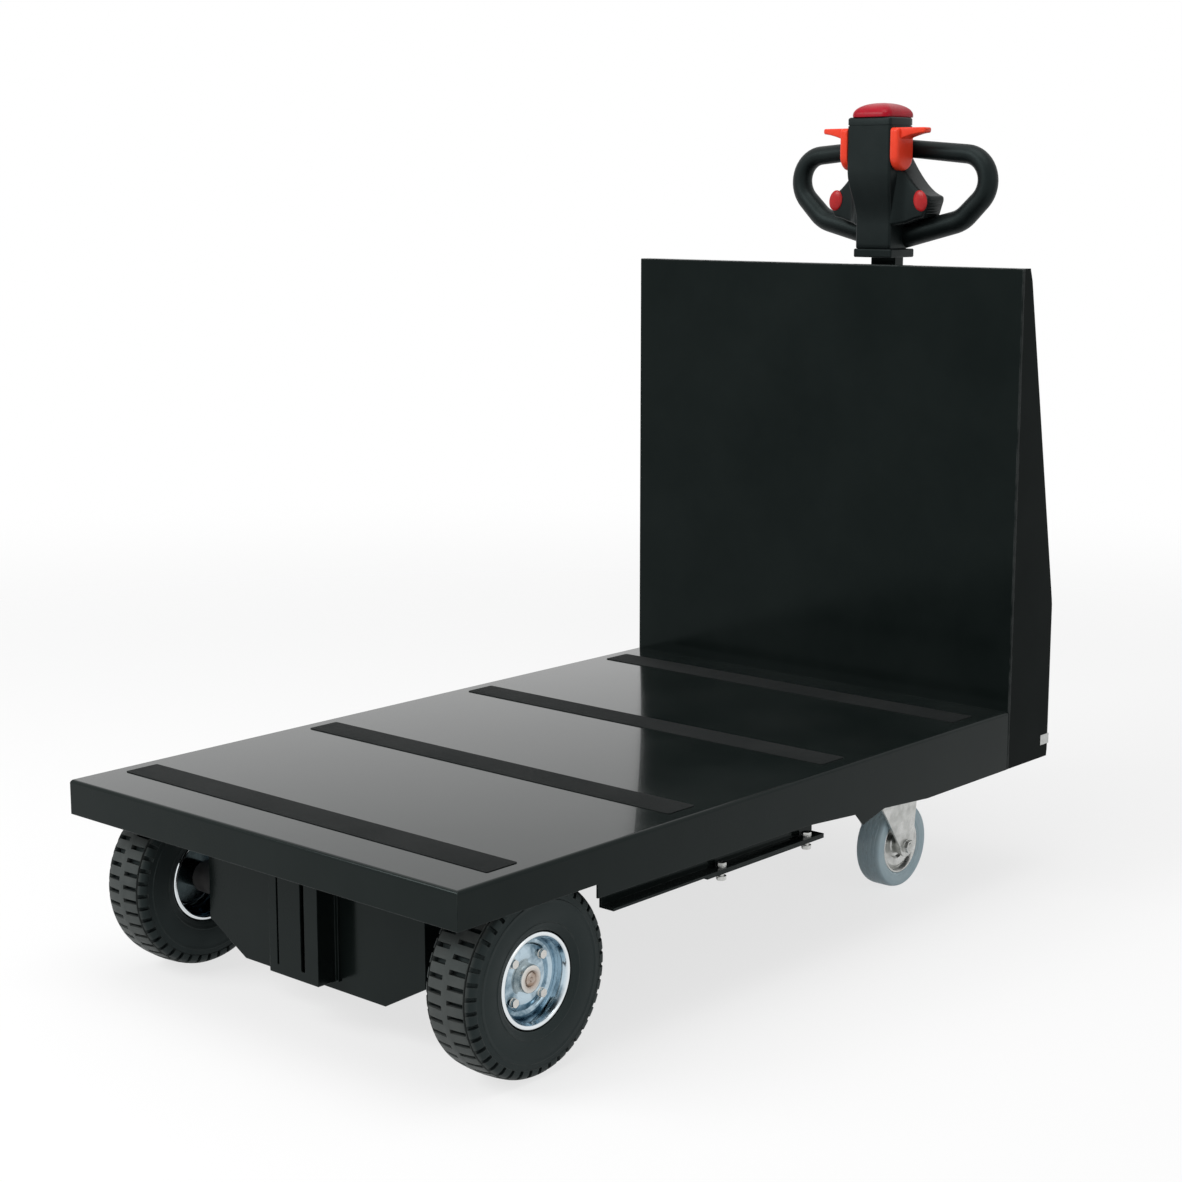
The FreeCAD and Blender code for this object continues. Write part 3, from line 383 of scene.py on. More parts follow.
powder_coat = coat_steel("black_powder_coat", 0.12, 0.11, 0.18)
polished_coat = polish_top(coat_steel("polished_deck_coat", 0.12, 0.1, 0.16),
    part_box("deck_pan")[1].z, 0.38)
# Backrest panel: weaker reflections as painted shade, wider and paler folds as a painted highlight.
panel_coat_shade_and_highlight = coat_steel("panel_coat_shade_and_highlight", 0.07, 0.11, 0.18, 0.0026, 1.6)
# Column: the same coat with weak reflections, a painted shade.
column_coat_painted_shade = coat_steel("column_coat_painted_shade", 0.02, 0.11, 0.18)
rounded_copy("deck_pan", sheet_edge_round, polished_coat, "black_powder_coat", "frame")
rounded_copy("battery_tray", sheet_edge_round / 3.0, powder_coat, "black_powder_coat", "frame")
for name in ("deck_beams", "front_apron", "hitch_box", "side_rails", "axle_hangers",
        "castor_carrier", "mast", "mast_foot", "mast_stay"):
    rounded_copy(name, sheet_edge_round, powder_coat, "black_powder_coat", "frame")
rounded_copy("backrest_panel", 0.0016, panel_coat_shade_and_highlight, "black_powder_coat", "frame")
for name in ("column_cover", "column_floor"):
    rounded_copy(name, sheet_edge_round, column_coat_painted_shade, "black_powder_coat", "frame")


# ---- anti-slip strips ----
# Four strips of grit tape, stuck along the deck. The tape is a matt black film with
# hard grains in it, so it takes the light evenly where the coat around it shines.

grit_dark = (0.0048, 0.0062, 0.0062, 1.0)
grit_light = (0.018, 0.02, 0.02, 1.0)
strip_corner = 0.003
strip_lip = 0.0002
shell_weld = 2e-6


def quads(rows, columns, round_rows=False, round_columns=False):
    """Faces of a grid of points: each quad joins a point to the next column and the next row."""
    row = np.arange(rows if round_rows else rows - 1)[:, None]
    column = np.arange(columns if round_columns else columns - 1)[None, :]
    next_row = (row + 1) % rows
    next_column = (column + 1) % columns
    corners = [row * columns + column, row * columns + next_column,
        next_row * columns + next_column, next_row * columns + column]
    return np.stack(corners, -1).reshape(-1, 4)


def skin(rings, joined=False):
    """A closed shell over rows of ring points: rows are wrapped, ends are capped or joined."""
    rows, columns = rings.shape[:2]
    faces = quads(rows, columns, joined, True).tolist()
    if not joined:
        faces.append(list(range(columns))[::-1])
        faces.append(list(range((rows - 1) * columns, rows * columns)))
    return rings.reshape(-1, 3), faces


def build(name, shells, crease=32.0):
    """One mesh from closed shells: points are merged, faces turned outwards, sharp edges marked."""
    starts = np.cumsum([0] + [len(points) for points, faces in shells])
    faces = [[start + corner for corner in face] for start, (points, shell) in zip(starts.tolist(),
        shells) for face in shell]
    mesh = bpy.data.meshes.new(name)
    mesh.from_pydata(np.concatenate([points for points, shell in shells]).tolist(), [], faces)
    form = bmesh.new()
    form.from_mesh(mesh)
    bmesh.ops.remove_doubles(form, verts=form.verts, dist=shell_weld)
    bmesh.ops.recalc_face_normals(form, faces=form.faces)
    form.to_mesh(mesh)
    form.free()
    mesh.shade_smooth()
    mesh.set_sharp_from_angle(angle=math.radians(crease))
    return put(name, mesh)


def corner_ring(x0, x1, y0, y1, radii, steps=7):
    """A rectangle whose corners have their own radii: centre + r (cos a, sin a), a quarter each.

    Corners go from the one at x1, y1 round to x0, y1, then x0, y0, then x1, y0.
    """
    a = np.linspace(0.0, math.pi / 2.0, steps)
    points = []
    for number, (x, y, sign_x, sign_y) in enumerate(((x1, y1, -1.0, -1.0), (x0, y1, 1.0, -1.0),
            (x0, y0, 1.0, 1.0), (x1, y0, -1.0, 1.0))):
        r = radii[number]
        turn = a + number * math.pi / 2.0
        points.append(np.column_stack([x + sign_x * r + r * np.cos(turn),
            y + sign_y * r + r * np.sin(turn)]))
    return np.concatenate(points)


def rounded_ring(half_x, half_y, corner, steps=6):
    """A rectangle about the middle with four equal round corners."""
    return corner_ring(-half_x, half_x, -half_y, half_y, (corner,) * 4, steps)


def raised(flats, levels):
    """Rings in space: each flat ring with its own level as third coordinate."""
    return np.array([np.column_stack([flat, np.full(len(flat), z)])
        for flat, z in zip(flats, levels)])


def pad(centre, half_x, half_y, corner, low, high, edge):
    """A thin slab with rounded corners and an eased top edge: one ring scaled in row by row."""
    rings = [rounded_ring(half_x - i, half_y - i, corner - i) for i in (0.0, 0.0, edge * 0.3, edge)]
    level = (low, high - edge, high - edge * 0.3, high)
    return skin(raised(rings, level) + np.array([centre[0], centre[1], 0.0]))


def box_of(name):
    """A CAD node's lowest and highest corner, its middle and its half sizes."""
    low, high = (np.array(corner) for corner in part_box(name))
    return low, high, (low + high) / 2.0, (high - low) / 2.0


# Sparkling grains in a matt film, walked paler in patches.
grit_tape = make_material("grit_tape", {"Specular IOR Level": 0.12}, (1500.0, 11.0), grit_dark,
    [("Fine", 0.0, 1.0, 0.42, 0.66, grit_light)], ("Fine", 0.95, 0.66, 0.4, 0.7), (0.6, 0.0006),
    dusty=(0.1, 8.0))
low, high, middle, half = box_of("grip_strips")
strip_points = np.array([corner.co for corner in node["grip_strips"].data.vertices])
strip_edges = np.unique(np.round(strip_points[:, 1], 5))
strip_shells = [pad((middle[0], (front + back) / 2.0), half[0], (back - front) / 2.0, strip_corner,
    low[2], high[2], strip_lip) for front, back in zip(strip_edges[::2], strip_edges[1::2])]
fit(build("grit_strips", strip_shells), grit_tape, "grit_strip", "frame", "grip_strips")


# ---- rail bolts ----
# Hexagon bolts with washers that hold the battery tray to the side rails. They are
# bright zinc, pressed in one blow, with a chamfered head and a rolled washer.

zinc_bright = (0.6, 0.61, 0.6, 1.0)
zinc_dull = (0.42, 0.43, 0.42, 1.0)
zinc_yellow = (0.5, 0.47, 0.38, 1.0)
washer_thickness = 0.0012
tray_flats = 0.0112
tray_head = 0.0043
tray_washer = 0.0065
tray_shank = 0.0039
head_and_washer = 0.0055
up = (0.0, 0.0, 1.0)


def point_along(shell, centre, way):
    """Carry a shell made about +Z to a centre, with +Z turned to a way and X, Y square to it."""
    points, faces = shell
    way = np.array(way, float) / np.linalg.norm(way)
    other = np.array([0.0, 0.0, 1.0]) if abs(way[2]) < 0.9 else np.array([1.0, 0.0, 0.0])
    across = np.cross(other, way)
    across /= np.linalg.norm(across)
    basis = np.stack([across, np.cross(way, across), way])
    return np.asarray(centre, float) + points @ basis, faces


def lathe(profile, steps=64, joined=False):
    """Turn (radius, height) points round +Z: (r cos a, r sin a, h) for every r, h and angle a."""
    radius, height = np.array(profile, float).T[:, :, None]
    return skin(turned(radius, full_turn(steps), height), joined)


def hex_head(across_flats, height):
    """A hexagon prism whose top corners are cut by a cone: six columns, radius cut per row."""
    a = np.arange(12) * math.pi / 6.0
    corner = across_flats / 2.0 / math.cos(math.pi / 6.0)
    reach = np.where(np.arange(12) % 2 == 0, corner, across_flats / 2.0)
    rows = [(corner, 0.0), (corner, height * 0.82), (corner * 0.93, height), (0.0, height)]
    cut, level = np.array(rows).T[:, :, None]
    return skin(turned(np.minimum(reach, cut), a, level))


def bolt(centre, way, across_flats, height, washer):
    """A hexagon head on its washer, standing from a centre along a way."""
    disc = lathe([(0.0, 0.0), (washer, 0.0), (washer, washer_thickness * 0.7),
        (washer * 0.94, washer_thickness), (0.0, washer_thickness)], 32)
    top = np.asarray(centre, float) + np.array(way, float) * washer_thickness
    return [point_along(disc, centre, way), point_along(hex_head(across_flats, height), top, way)]


# A faint crystalline mottle, dull and yellowish in places, with fine scratches.
zinc = make_material("bright_zinc", {"Metallic": 1.0}, (700.0, 60.0), zinc_bright,
    [("Mottle", 0.0, 1.0, 0.35, 0.65, zinc_dull), ("Fine", 0.0, 0.6, 0.5, 0.8, zinc_yellow)],
    ("Mottle", 0.22, 0.42, 0.3, 0.7), (0.12, 0.0003), (zinc_bright, 0.001, 0.7, 160.0))
low, high = box_of("tray_bolts")[:2]
bolt_shells = []
for x in (low[0] + tray_washer, high[0] - tray_washer):
    for y in (low[1] + tray_washer, high[1] - tray_washer):
        under = (x, y, low[2] + head_and_washer)
        above = (x, y, high[2] - head_and_washer)
        length = above[2] - under[2]
        bolt_shells += bolt(under, (0.0, 0.0, -1.0), tray_flats, tray_head, tray_washer)
        bolt_shells += bolt(above, up, tray_flats, tray_head, tray_washer)
        shank = lathe([(0.0, 0.0), (tray_shank, 0.0), (tray_shank, length), (0.0, length)], 24)
        bolt_shells.append(point_along(shank, under, up))
fit(build("rail_bolts", bolt_shells), zinc, "bright_zinc", "frame", "tray_bolts")


# ---- battery, drive axle and motor ----
# Under the deck: a ribbed polypropylene battery in its tray, a cast gear case with
# steel axle tubes, and a finned motor. They are seen only from low down.

battery_grey = (0.04, 0.043, 0.046, 1.0)
battery_scuffed = (0.085, 0.088, 0.09, 1.0)
casting_dark = (0.03, 0.03, 0.031, 1.0)
casting_bare = (0.16, 0.155, 0.15, 1.0)
motor_black = (0.014, 0.0145, 0.015, 1.0)
motor_sheen = (0.03, 0.031, 0.032, 1.0)
battery_rib_pitch = 0.024
battery_rib_depth = 0.0015
battery_lid_height = 0.022
fin_count = 18
fin_depth = 0.003
casting_edge_round = 0.0015


def cast_finish(name, dark, light, fine, roughness, bump):
    """Cast or moulded finish: grain in colour, roughness and bump, with rubbed edges."""
    return make_material(name, {"Specular IOR Level": 0.4}, (fine, 20.0), dark,
        [("Mottle", 0.0, 0.5, 0.35, 0.7, light)], ("Fine", roughness - 0.08, roughness + 0.1, 0.3,
        0.7), (bump, 0.0006), (light, 0.0015, 0.5, 70.0), (0.25, 12.0))


def ribbed_case(low, high, middle, half):
    """A box whose walls go in and out along their length, under a plain overhanging lid.

    Each wall point is pushed in by depth where the distance round the box lies in a groove.
    """
    bottom, top = low[2], high[2]
    lid = top - battery_lid_height

    def wall(long, across, inset, ribs):
        count = int(2 * long / battery_rib_pitch) * 4 + 1
        sink = inset + ribs * battery_rib_depth * (np.arange(count) % 4 > 1)
        return np.clip(np.linspace(-long, long, count), inset - long, long - inset), across - sink

    def ring(inset, ribs):
        x, out_y = wall(half[0], half[1], inset, ribs)
        y, out_x = wall(half[1], half[0], inset, ribs)
        walls = [np.column_stack([x, -out_y])[:-1], np.column_stack([out_x, y])[:-1],
            np.column_stack([x, out_y])[:0:-1], np.column_stack([-out_x, y])[:0:-1]]
        return np.concatenate(walls) + middle[:2]

    rows = [(0.003, bottom, 0.0), (0.002, bottom + 0.002, 0.0), (0.002, bottom + 0.012, 0.0),
        (0.002, bottom + 0.013, 1.0), (0.002, lid - 0.006, 1.0), (0.002, lid - 0.005, 0.0),
        (0.002, lid, 0.0), (0.0, lid, 0.0), (0.0, top - 0.002, 0.0), (0.002, top, 0.0)]
    return skin(raised([ring(inset, ribs) for inset, level, ribs in rows],
        [level for inset, level, ribs in rows]))


def finned_barrel(radius, start, end):
    """A motor shell about +Z: radius drops by the fin depth in every second column."""
    columns = fin_count * 4
    groove = fin_depth * (np.arange(columns) % 4 < 2)
    length = end - start
    rows = [(0.0, 0.0, 0.0), (radius - 0.006, 0.0, 0.0), (radius, 0.004, 0.0),
        (radius, 0.014, 0.0), (radius, 0.016, 1.0), (radius, length - 0.032, 1.0),
        (radius, length - 0.03, 0.0), (radius, length - 0.004, 0.0), (radius - 0.008, length, 0.0),
        (0.0, length, 0.0)]
    reach, level, fins = np.array(rows).T[:, :, None]
    reach = np.maximum(reach - fins * groove, 0.0)
    return skin(turned(reach, full_turn(columns), start + level))


fit(build("battery_case", [ribbed_case(*box_of("battery_block"))]),
    cast_finish("battery_plastic", battery_grey, battery_scuffed, 1100.0, 0.5, 0.2),
    "battery_case", "frame", "battery_block")
casting = cast_finish("axle_casting", casting_dark, casting_bare, 500.0, 0.55, 0.5)
rounded_copy("axle_housing", casting_edge_round, casting, "axle_paint", "frame", "casting")
low, high, middle, half = box_of("drive_motor")
motor = finned_barrel(half[0], low[1], high[1])
motor = point_along(motor, (middle[0], 0.0, middle[2]), (0.0, 1.0, 0.0))
motor_paint = cast_finish("motor_paint", motor_black, motor_sheen, 800.0, 0.35, 0.15)
fit(build("motor_barrel", [motor]), motor_paint, "motor_shell", "frame", "drive_motor")


# ---- driven wheels ----
# Pneumatic block-tread tyres on pressed, chromed rims. A turned hub carries the rim on
# four hexagon bolts, and the end of the drive shaft shows in its middle.

tread_pitches = 42
tread_depth = 0.0075
rubber_dark = (0.0085, 0.012, 0.0125, 1.0)
rubber_worn = (0.02, 0.025, 0.0255, 1.0)
rubber_dust = (0.085, 0.088, 0.084, 1.0)
tread_scuffed = (0.078, 0.083, 0.08, 1.0)
chrome_bright = (0.46, 0.57, 0.64, 1.0)
chrome_dull = (0.1, 0.17, 0.22, 1.0)
# Paler chrome on the rolled lip, a painted highlight.
chrome_lip_highlight = (0.76, 0.8, 0.82, 1.0)
hub_bright = (0.62, 0.61, 0.58, 1.0)
hub_stained = (0.3, 0.2, 0.14, 1.0)
# Dark teal for the hub flange behind the rim's disc, a painted shade.
hub_painted_shade = (0.045, 0.06, 0.064, 1.0)
tyre_middle, tyre_size = box_of("drive_tyre_right")[2:]
tyre_radius = tyre_size[2]
rim_size = box_of("drive_rim_right")[3]
rim_lip = rim_size[2]
rim_seat = rim_lip - 0.007
rim_disc = rim_size[0] - 0.017
rim_gauge = 0.0022
hub_boss = 0.017
hub_shaft = 0.0078
bolt_circle = 0.033
sides = (("left", -1.0), ("right", 1.0))


def tread_columns():
    """Angles of the tread's columns and, for each, whether it lies in a slit of either block row.

    A slit of the first row is centred on each pitch and one of the second on each half pitch.
    """
    part = np.array([-0.165, -0.14, -0.05, 0.05, 0.14, 0.165, 0.25, 0.335, 0.36, 0.45, 0.55, 0.64,
        0.665, 0.75])
    first = np.abs(part) < 0.15
    second = np.abs(part - 0.5) < 0.15
    angle = (np.arange(tread_pitches)[:, None] + part[None, :]) / tread_pitches * 2.0 * math.pi
    return angle.ravel(), np.tile(first, tread_pitches), np.tile(second, tread_pitches)


def tyre_rows(radius, half, bead):
    """Half a tyre's outline from crown to bead: radius, outward, slit depth in and across, shift.

    Shift is 1 on the shoulder, whose notches are cut half a pitch away from the slits.
    """
    drop = np.array([0.0, 0.0, 0.0001, 0.0002, 0.0005, 0.001, 0.0017, 0.002, 0.0024, 0.0052,
        0.0056, 0.0034, 0.0042, 0.0062, 0.0092, 0.0128, 0.015, 0.0156])
    crown = half * np.array([0.5, 0.64, 0.68, 0.72, 0.735, 0.765, 0.78, 0.82, 0.89, 0.945, 0.972,
        0.974, 0.958])
    share = np.array([0.04, 0.1, 0.14, 0.16, 0.2, 0.24, 0.26, 0.36, 0.48, 0.6, 0.72, 0.76, 0.78,
        0.82, 0.86, 0.88, 0.94, 1.0])
    ridge = np.zeros(18)
    ridge[3:5], ridge[12:14], ridge[17] = 0.0007, 0.0008, -0.001
    swell = np.sin(math.pi * np.minimum(share * 1.1, 1.0))
    bulge = half * (0.958 + 0.034 * swell - 0.1 * share ** 4)
    slits = np.zeros((3, 36))
    slits[0, 3:8] = (1.0, 1.0, 1.0, 1.0, 0.35)
    slits[:, 12:16] = ((0.8, 0.8, 0.55, 0.2), (0.1, 0.35, 0.45, 0.45), (1.0, 1.0, 1.0, 1.0))
    shoulder = radius - drop[-1]
    rows = [np.concatenate([radius - drop, shoulder - (shoulder - bead) * share]),
        np.concatenate([[0.0, 0.0034, 0.0042, 0.005, 0.012], crown, bulge + ridge]), *slits]
    return [row[:, None] for row in rows]


def tyre(radius, half, bead):
    """A tyre about +Z: each row's radius and outward place, less the slit's depth in its slits.

    Point = ((r - d in) cos a, (r - d in) sin a, +-(w - d across)) for row and column.
    """
    row_r, row_w, deep, across, shift = tyre_rows(radius, half, bead)
    angle, first, second = tread_columns()
    shells = []
    for side, slit, other in ((1.0, first, second), (-1.0, second, first)):
        cut = np.where(shift > 0.5, other, slit) * tread_depth
        shells.append(turned(row_r - cut * deep, angle, side * (row_w - cut * across)))
    return skin(np.concatenate([shells[1][::-1], shells[0][1:]]), joined=True)


def steps_from(r, h, steps):
    """Outline points given as steps from one point, in millimetres."""
    return [(r + out / 1000.0, h + on / 1000.0) for out, on in steps]


def mirrored(outline):
    """An outline and its mirror image in the middle plane, as one loop."""
    return outline + [(r, -h) for r, h in reversed(outline)]


def rim_shells(lip, seat, half, disc, boss):
    """Chromed barrel with a rolled lip each side, and the dished, ridged disc pressed into it."""
    inner = seat - rim_gauge
    roll = (lip - seat - 0.0005) / 2.0
    edge = [(seat + 0.0005 + roll + roll * math.cos(a), half - roll + roll * math.sin(a) * 0.9)
        for a in np.linspace(0.0, math.pi, 9)]
    loop = ([(seat, half - 0.01), (lip, half - roll)] + edge
        + steps_from(inner, half, [(0.6, -6.2), (0.0, -8.5)]))
    face = ([(seat - 0.0005, disc - 0.004)] + steps_from(inner, disc,
        [(-1.0, -1.2), (-3.5, 0.0), (-7.0, -0.2), (-8.5, -1.2), (-10.0, -2.6), (-11.5, -2.2)])
        + steps_from(boss, disc, [(15.0, -0.2), (12.0, 0.8), (8.0, 0.8), (5.0, -0.6), (2.0, -1.4),
        (-1.0, -1.4)]))
    back = [(r, w - rim_gauge) for r, w in reversed(face)]
    return [lathe(mirrored(loop), 128, joined=True), lathe(face + back, 128, joined=True)]


def hub_shells(boss, disc, nose, shaft_end, circle):
    """Turned boss with chamfers, shaft with a centre hole, flange behind the disc and bolts."""
    outline = ([(0.0, shaft_end), (0.01, shaft_end), (0.01, disc - 0.034), (boss, disc - 0.034),
        (boss, disc - 0.0085)] + steps_from(circle + 0.008, disc, [(0.0, -8.5), (0.0, -3.6)])
        + [(boss, disc - 0.0036)] + steps_from(boss, nose, [(0.0, -2.2), (-0.8, -0.8),
        (-2.5, 0.0)]) + steps_from(hub_shaft, nose, [(3.0, 0.0), (1.2, -1.4), (0.4, -2.6),
        (0.0, -2.6), (0.0, -1.2), (-1.0, -0.4)]) + steps_from(0.0, nose,
        [(3.0, -0.4), (1.4, -3.0), (0.0, -4.2)]))
    shells = [lathe(outline, 72)]
    for number in range(4):
        a = 2.0 * math.pi * (number + 0.5) / 4.0
        shells += bolt((circle * math.cos(a), circle * math.sin(a), disc + 0.0002), up, 0.01,
            0.0038, 0.006)
    return shells


def from_axle(tree, low, high, start, end):
    """A value that goes from low to high over a range of distances from the wheel's axis."""
    about = add(tree, "Mapping", {"Vector": add(tree, "TexCoord")["Object"],
        "Location": (0.0, -tyre_middle[1], -tyre_middle[2]), "Scale": (0.0, 1.0, 1.0)},
        vector_type="POINT")
    away = add(tree, "VectorMath", {0: about[0]}, operation="LENGTH")
    return spread(tree, away["Value"], low, high, start, end)


def block_tops(tree, grain):
    """Factor: the tops of the tread's blocks, scuffed in patches."""
    near = from_axle(tree, 0.0, 1.0, tyre_radius - 0.006, tyre_radius - 0.0025)
    return reckon(tree, "MULTIPLY", near, spread(tree, grain["Mottle"], 0.45, 1.0, 0.25, 0.7))


def painted_lip_highlight(tree, grain):
    """Factor: the rim's rolled lip, painted paler as a highlight."""
    return from_axle(tree, 0.0, 1.0, rim_lip - 0.0075, rim_lip - 0.0045)


def turned_steel(disc_x):
    """Turned boss: zinc outside, brown with grease at the shaft, painted shade behind the rim's
    disc.
    """
    material, tree, grain = start_material("turned_hub", {"Metallic": 1.0}, 500.0, 130.0)
    stain = reckon(tree, "MULTIPLY", from_axle(tree, 0.9, 0.0, 0.0075, 0.0145),
        spread(tree, grain["Mottle"], 0.45, 1.0, 0.3, 0.6))
    parts = add(tree, "SeparateXYZ", {0: add(tree, "TexCoord")["Object"]})
    # Painted shade on what lies behind the rim's disc.
    behind = spread(tree, reckon(tree, "ABSOLUTE", parts["X"]), 1.0, 0.0, disc_x - 0.003,
        disc_x - 0.001)
    colour = blend(tree, behind, blend(tree, stain, hub_bright, hub_stained), hub_painted_shade)
    rough = sums(tree, spread(tree, grain["Mottle"], 0.18, 0.36, 0.3, 0.7),
        spread(tree, stain, 0.0, 0.22))
    return finish_material(material, colour, rough, grain["Fine"], 0.12, 0.0003)


# Moulded rubber: block tops scuffed pale by the ground, dusty edges, finely grained.
tyre_rubber = make_material("tyre_rubber",
    {"Specular IOR Level": 0.25, "Specular Tint": coat_sheen}, (900.0, 26.0), rubber_dark,
    [("Mottle", 0.0, 0.75, 0.3, 0.75, rubber_worn), (block_tops, tread_scuffed)],
    ("Mottle", 0.48, 0.66, 0.3, 0.7), (0.25, 0.0004), (rubber_dust, 0.0022, 0.35, 90.0))
# Chrome: a mirror with a slow waviness, blue-grey in patches, and a painted highlight on the lip.
chrome = make_material("chrome_rim", {"Metallic": 1.0}, (42.0, 30.0), chrome_bright,
    [("Mottle", 0.0, 1.0, 0.42, 0.6, chrome_dull), (painted_lip_highlight, chrome_lip_highlight)],
    ("Mottle", 0.06, 0.17, 0.35, 0.75), (0.16, 0.0016))
hub_steel = turned_steel(tyre_middle[0] + rim_disc)
for side_name, side in sides:
    body = "drive_wheel_" + side_name
    centre = (box_of("drive_tyre_" + side_name)[2][0], tyre_middle[1], tyre_middle[2])
    out = (side, 0.0, 0.0)
    hub_low, hub_high = box_of("drive_hub_" + side_name)[:2]
    shaft_end, nose = sorted(side * (end - centre[0]) for end in (hub_low[0], hub_high[0]))
    rubber = point_along(tyre(tyre_radius, tyre_size[0], rim_lip + 0.001), centre, out)
    rim = rim_shells(rim_lip, rim_seat, rim_size[0], rim_disc, hub_boss)
    hub = hub_shells(hub_boss, rim_disc, nose, shaft_end, bolt_circle)
    fit(build("tyre_" + side_name, [rubber], 28.0), tyre_rubber, "black_tyre", body,
        "drive_tyre_" + side_name)
    fit(build("rim_" + side_name, [point_along(shell, centre, out) for shell in rim], 40.0),
        chrome, "chrome_rim", body, "drive_rim_" + side_name)
    fit(build("hub_" + side_name, [point_along(shell, centre, out) for shell in hub]), hub_steel,
        "bright_zinc", body, "drive_hub_" + side_name)


# ---- castors ----
# Zinc-plated swivel castors: a top plate with a ball race, a pressed fork that leans
# back from the race, and a grey non-marking tyre bonded to a pressed wheel centre.

castor_blue = (0.52, 0.69, 0.77, 1.0)
castor_pale = (0.62, 0.77, 0.83, 1.0)
castor_soil = (0.13, 0.15, 0.16, 1.0)
fork_edge_round = 0.0012
plate_edge_round = 0.0008
castor_flats = 0.017
castor_washer = 0.0098


def castor_tyre_profile(radius, half, core):
    """Closed outline of a solid tyre: flat tread with four fine rings, round shoulders, a step."""
    u = np.linspace(-0.62, 0.62, 41) * half
    dip = 0.0005 * (np.abs(np.sin(u / half * math.pi * 3.2)) < 0.16)
    tread = [(radius - d - 0.0004 * (x / half) ** 2, x) for x, d in zip(u, dip)]
    turn = np.linspace(0.12, math.pi / 2.0, 7)
    bend = half * 0.36
    shoulder = [(radius - 0.0005 - bend * 0.55 * (1.0 - math.cos(a)),
        half * 0.62 + bend * math.sin(a)) for a in turn]
    wall = [(radius - 0.01, half * 0.995), (core + 0.01, half * 0.99),
        (core + 0.0085, half * 0.955), (core + 0.0035, half * 0.95), (core + 0.002, half * 0.9),
        (core, half * 0.85)]
    return tread + mirrored(shoulder + wall)


def castor_core_profile(core, half, hub, hub_half, bore):
    """Closed outline of the pressed wheel centre: dished sides, a rolled ridge and the hub tube."""
    dish = half - 0.009
    right = ([(bore, hub_half), (hub - 0.001, hub_half), (hub, hub_half - 0.001)]
        + steps_from(hub, dish, [(0.0, -1.0), (1.5, -3.0), (5.5, -3.0), (8.5, 0.5)])
        + steps_from(core, dish, [(-10.0, 1.2), (-7.2, -0.8)])
        + steps_from(core, half, [(-5.0, -5.2), (-3.0, -3.0), (-1.0, -2.8), (0.0, -4.0)]))
    return mirrored(right)


# Grey rubber: blue-grey, soiled at the edges of the tread, slightly mottled and smooth.
castor_rubber = make_material("castor_rubber", {"Specular IOR Level": 0.35}, (600.0, 34.0),
    castor_blue, [("Mottle", 0.0, 1.0, 0.3, 0.7, castor_pale)], ("Mottle", 0.34, 0.5, 0.3, 0.7),
    (0.15, 0.0003), (castor_soil, 0.0025, 0.45, 120.0))
for side_name, side in sides:
    centre, size = box_of("castor_tyre_" + side_name)[2:]
    core_size = box_of("castor_core_" + side_name)[3]
    out = (side, 0.0, 0.0)
    wheel = "castor_wheel_" + side_name
    swivel = "castor_swivel_" + side_name
    ring = lathe(castor_tyre_profile(size[2], size[0], core_size[2]), 112, joined=True)
    fit(build("castor_tyre_ring_" + side_name, [point_along(ring, centre, out)]), castor_rubber,
        "grey_rubber", wheel, "castor_tyre_" + side_name)
    disc = lathe(castor_core_profile(core_size[2], size[0], 0.013, core_size[0], 0.00605), 96,
        joined=True)
    fit(build("castor_disc_" + side_name, [point_along(disc, centre, out)]), zinc, "bright_zinc",
        wheel, "castor_core_" + side_name)
    rounded_copy("castor_fork_" + side_name, fork_edge_round, zinc, "bright_zinc", swivel,
        "pressing")
    rounded_copy("castor_plate_" + side_name, plate_edge_round, zinc, "bright_zinc", "frame",
        "plate")
    start, end = (corner.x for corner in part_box("castor_axle_" + side_name))
    shank = lathe([(0.0, start + 0.001), (0.006, start + 0.001), (0.006, end - 0.001),
        (0.0052, end), (0.0, end)], 32)
    pin = [point_along(shank, (0.0, centre[1], centre[2]), (1.0, 0.0, 0.0))]
    for x, way, height in ((start + 0.005, -1.0, 0.0036), (end - 0.007, 1.0, 0.005)):
        pin += bolt((x, centre[1], centre[2]), (way, 0.0, 0.0), castor_flats, height, castor_washer)
    fit(build("castor_pin_" + side_name, pin), zinc, "bright_zinc", swivel,
        "castor_axle_" + side_name)


# ---- tiller head ----
# A moulded head clamped on the mast: textured black shells, red travel buttons on two
# side pods, orange butterfly levers and a cushioned crimson button on top.

plastic_dark = (0.0036, 0.0054, 0.0056, 1.0)
plastic_worn = (0.012, 0.0145, 0.015, 1.0)
orange_fresh = (0.92, 0.066, 0.028, 1.0)
button_fresh = (0.56, 0.028, 0.028, 1.0)
button_deep = (0.34, 0.012, 0.016, 1.0)
orange_deep = (0.84, 0.05, 0.022, 1.0)
crimson_fresh = (0.44, 0.001, 0.016, 1.0)
crimson_deep = (0.3, 0.0015, 0.012, 1.0)
head_setback = 0.016
head_narrowing = 0.0075
bend_foot = 0.039
bend_top = 0.119
pod_ribs = 6
pod_root_drop = 0.012
pod_lean = 0.011
pod_fall_end = 0.045
pod_fall = 0.037
button_half_width = 0.012
button_half_height = 0.016
button_rise = 0.003
button_rim = 0.0006
button_tilt = math.radians(14.0)
crown_corner = 0.013
crown_side = 0.0035
lever_gap = 0.0002
grip_thin = 0.0135


def ease(share):
    """Smooth step: 3 s squared less 2 s cubed, held between 0 and 1."""
    share = np.clip(share, 0.0, 1.0)
    return share * share * (3.0 - 2.0 * share)


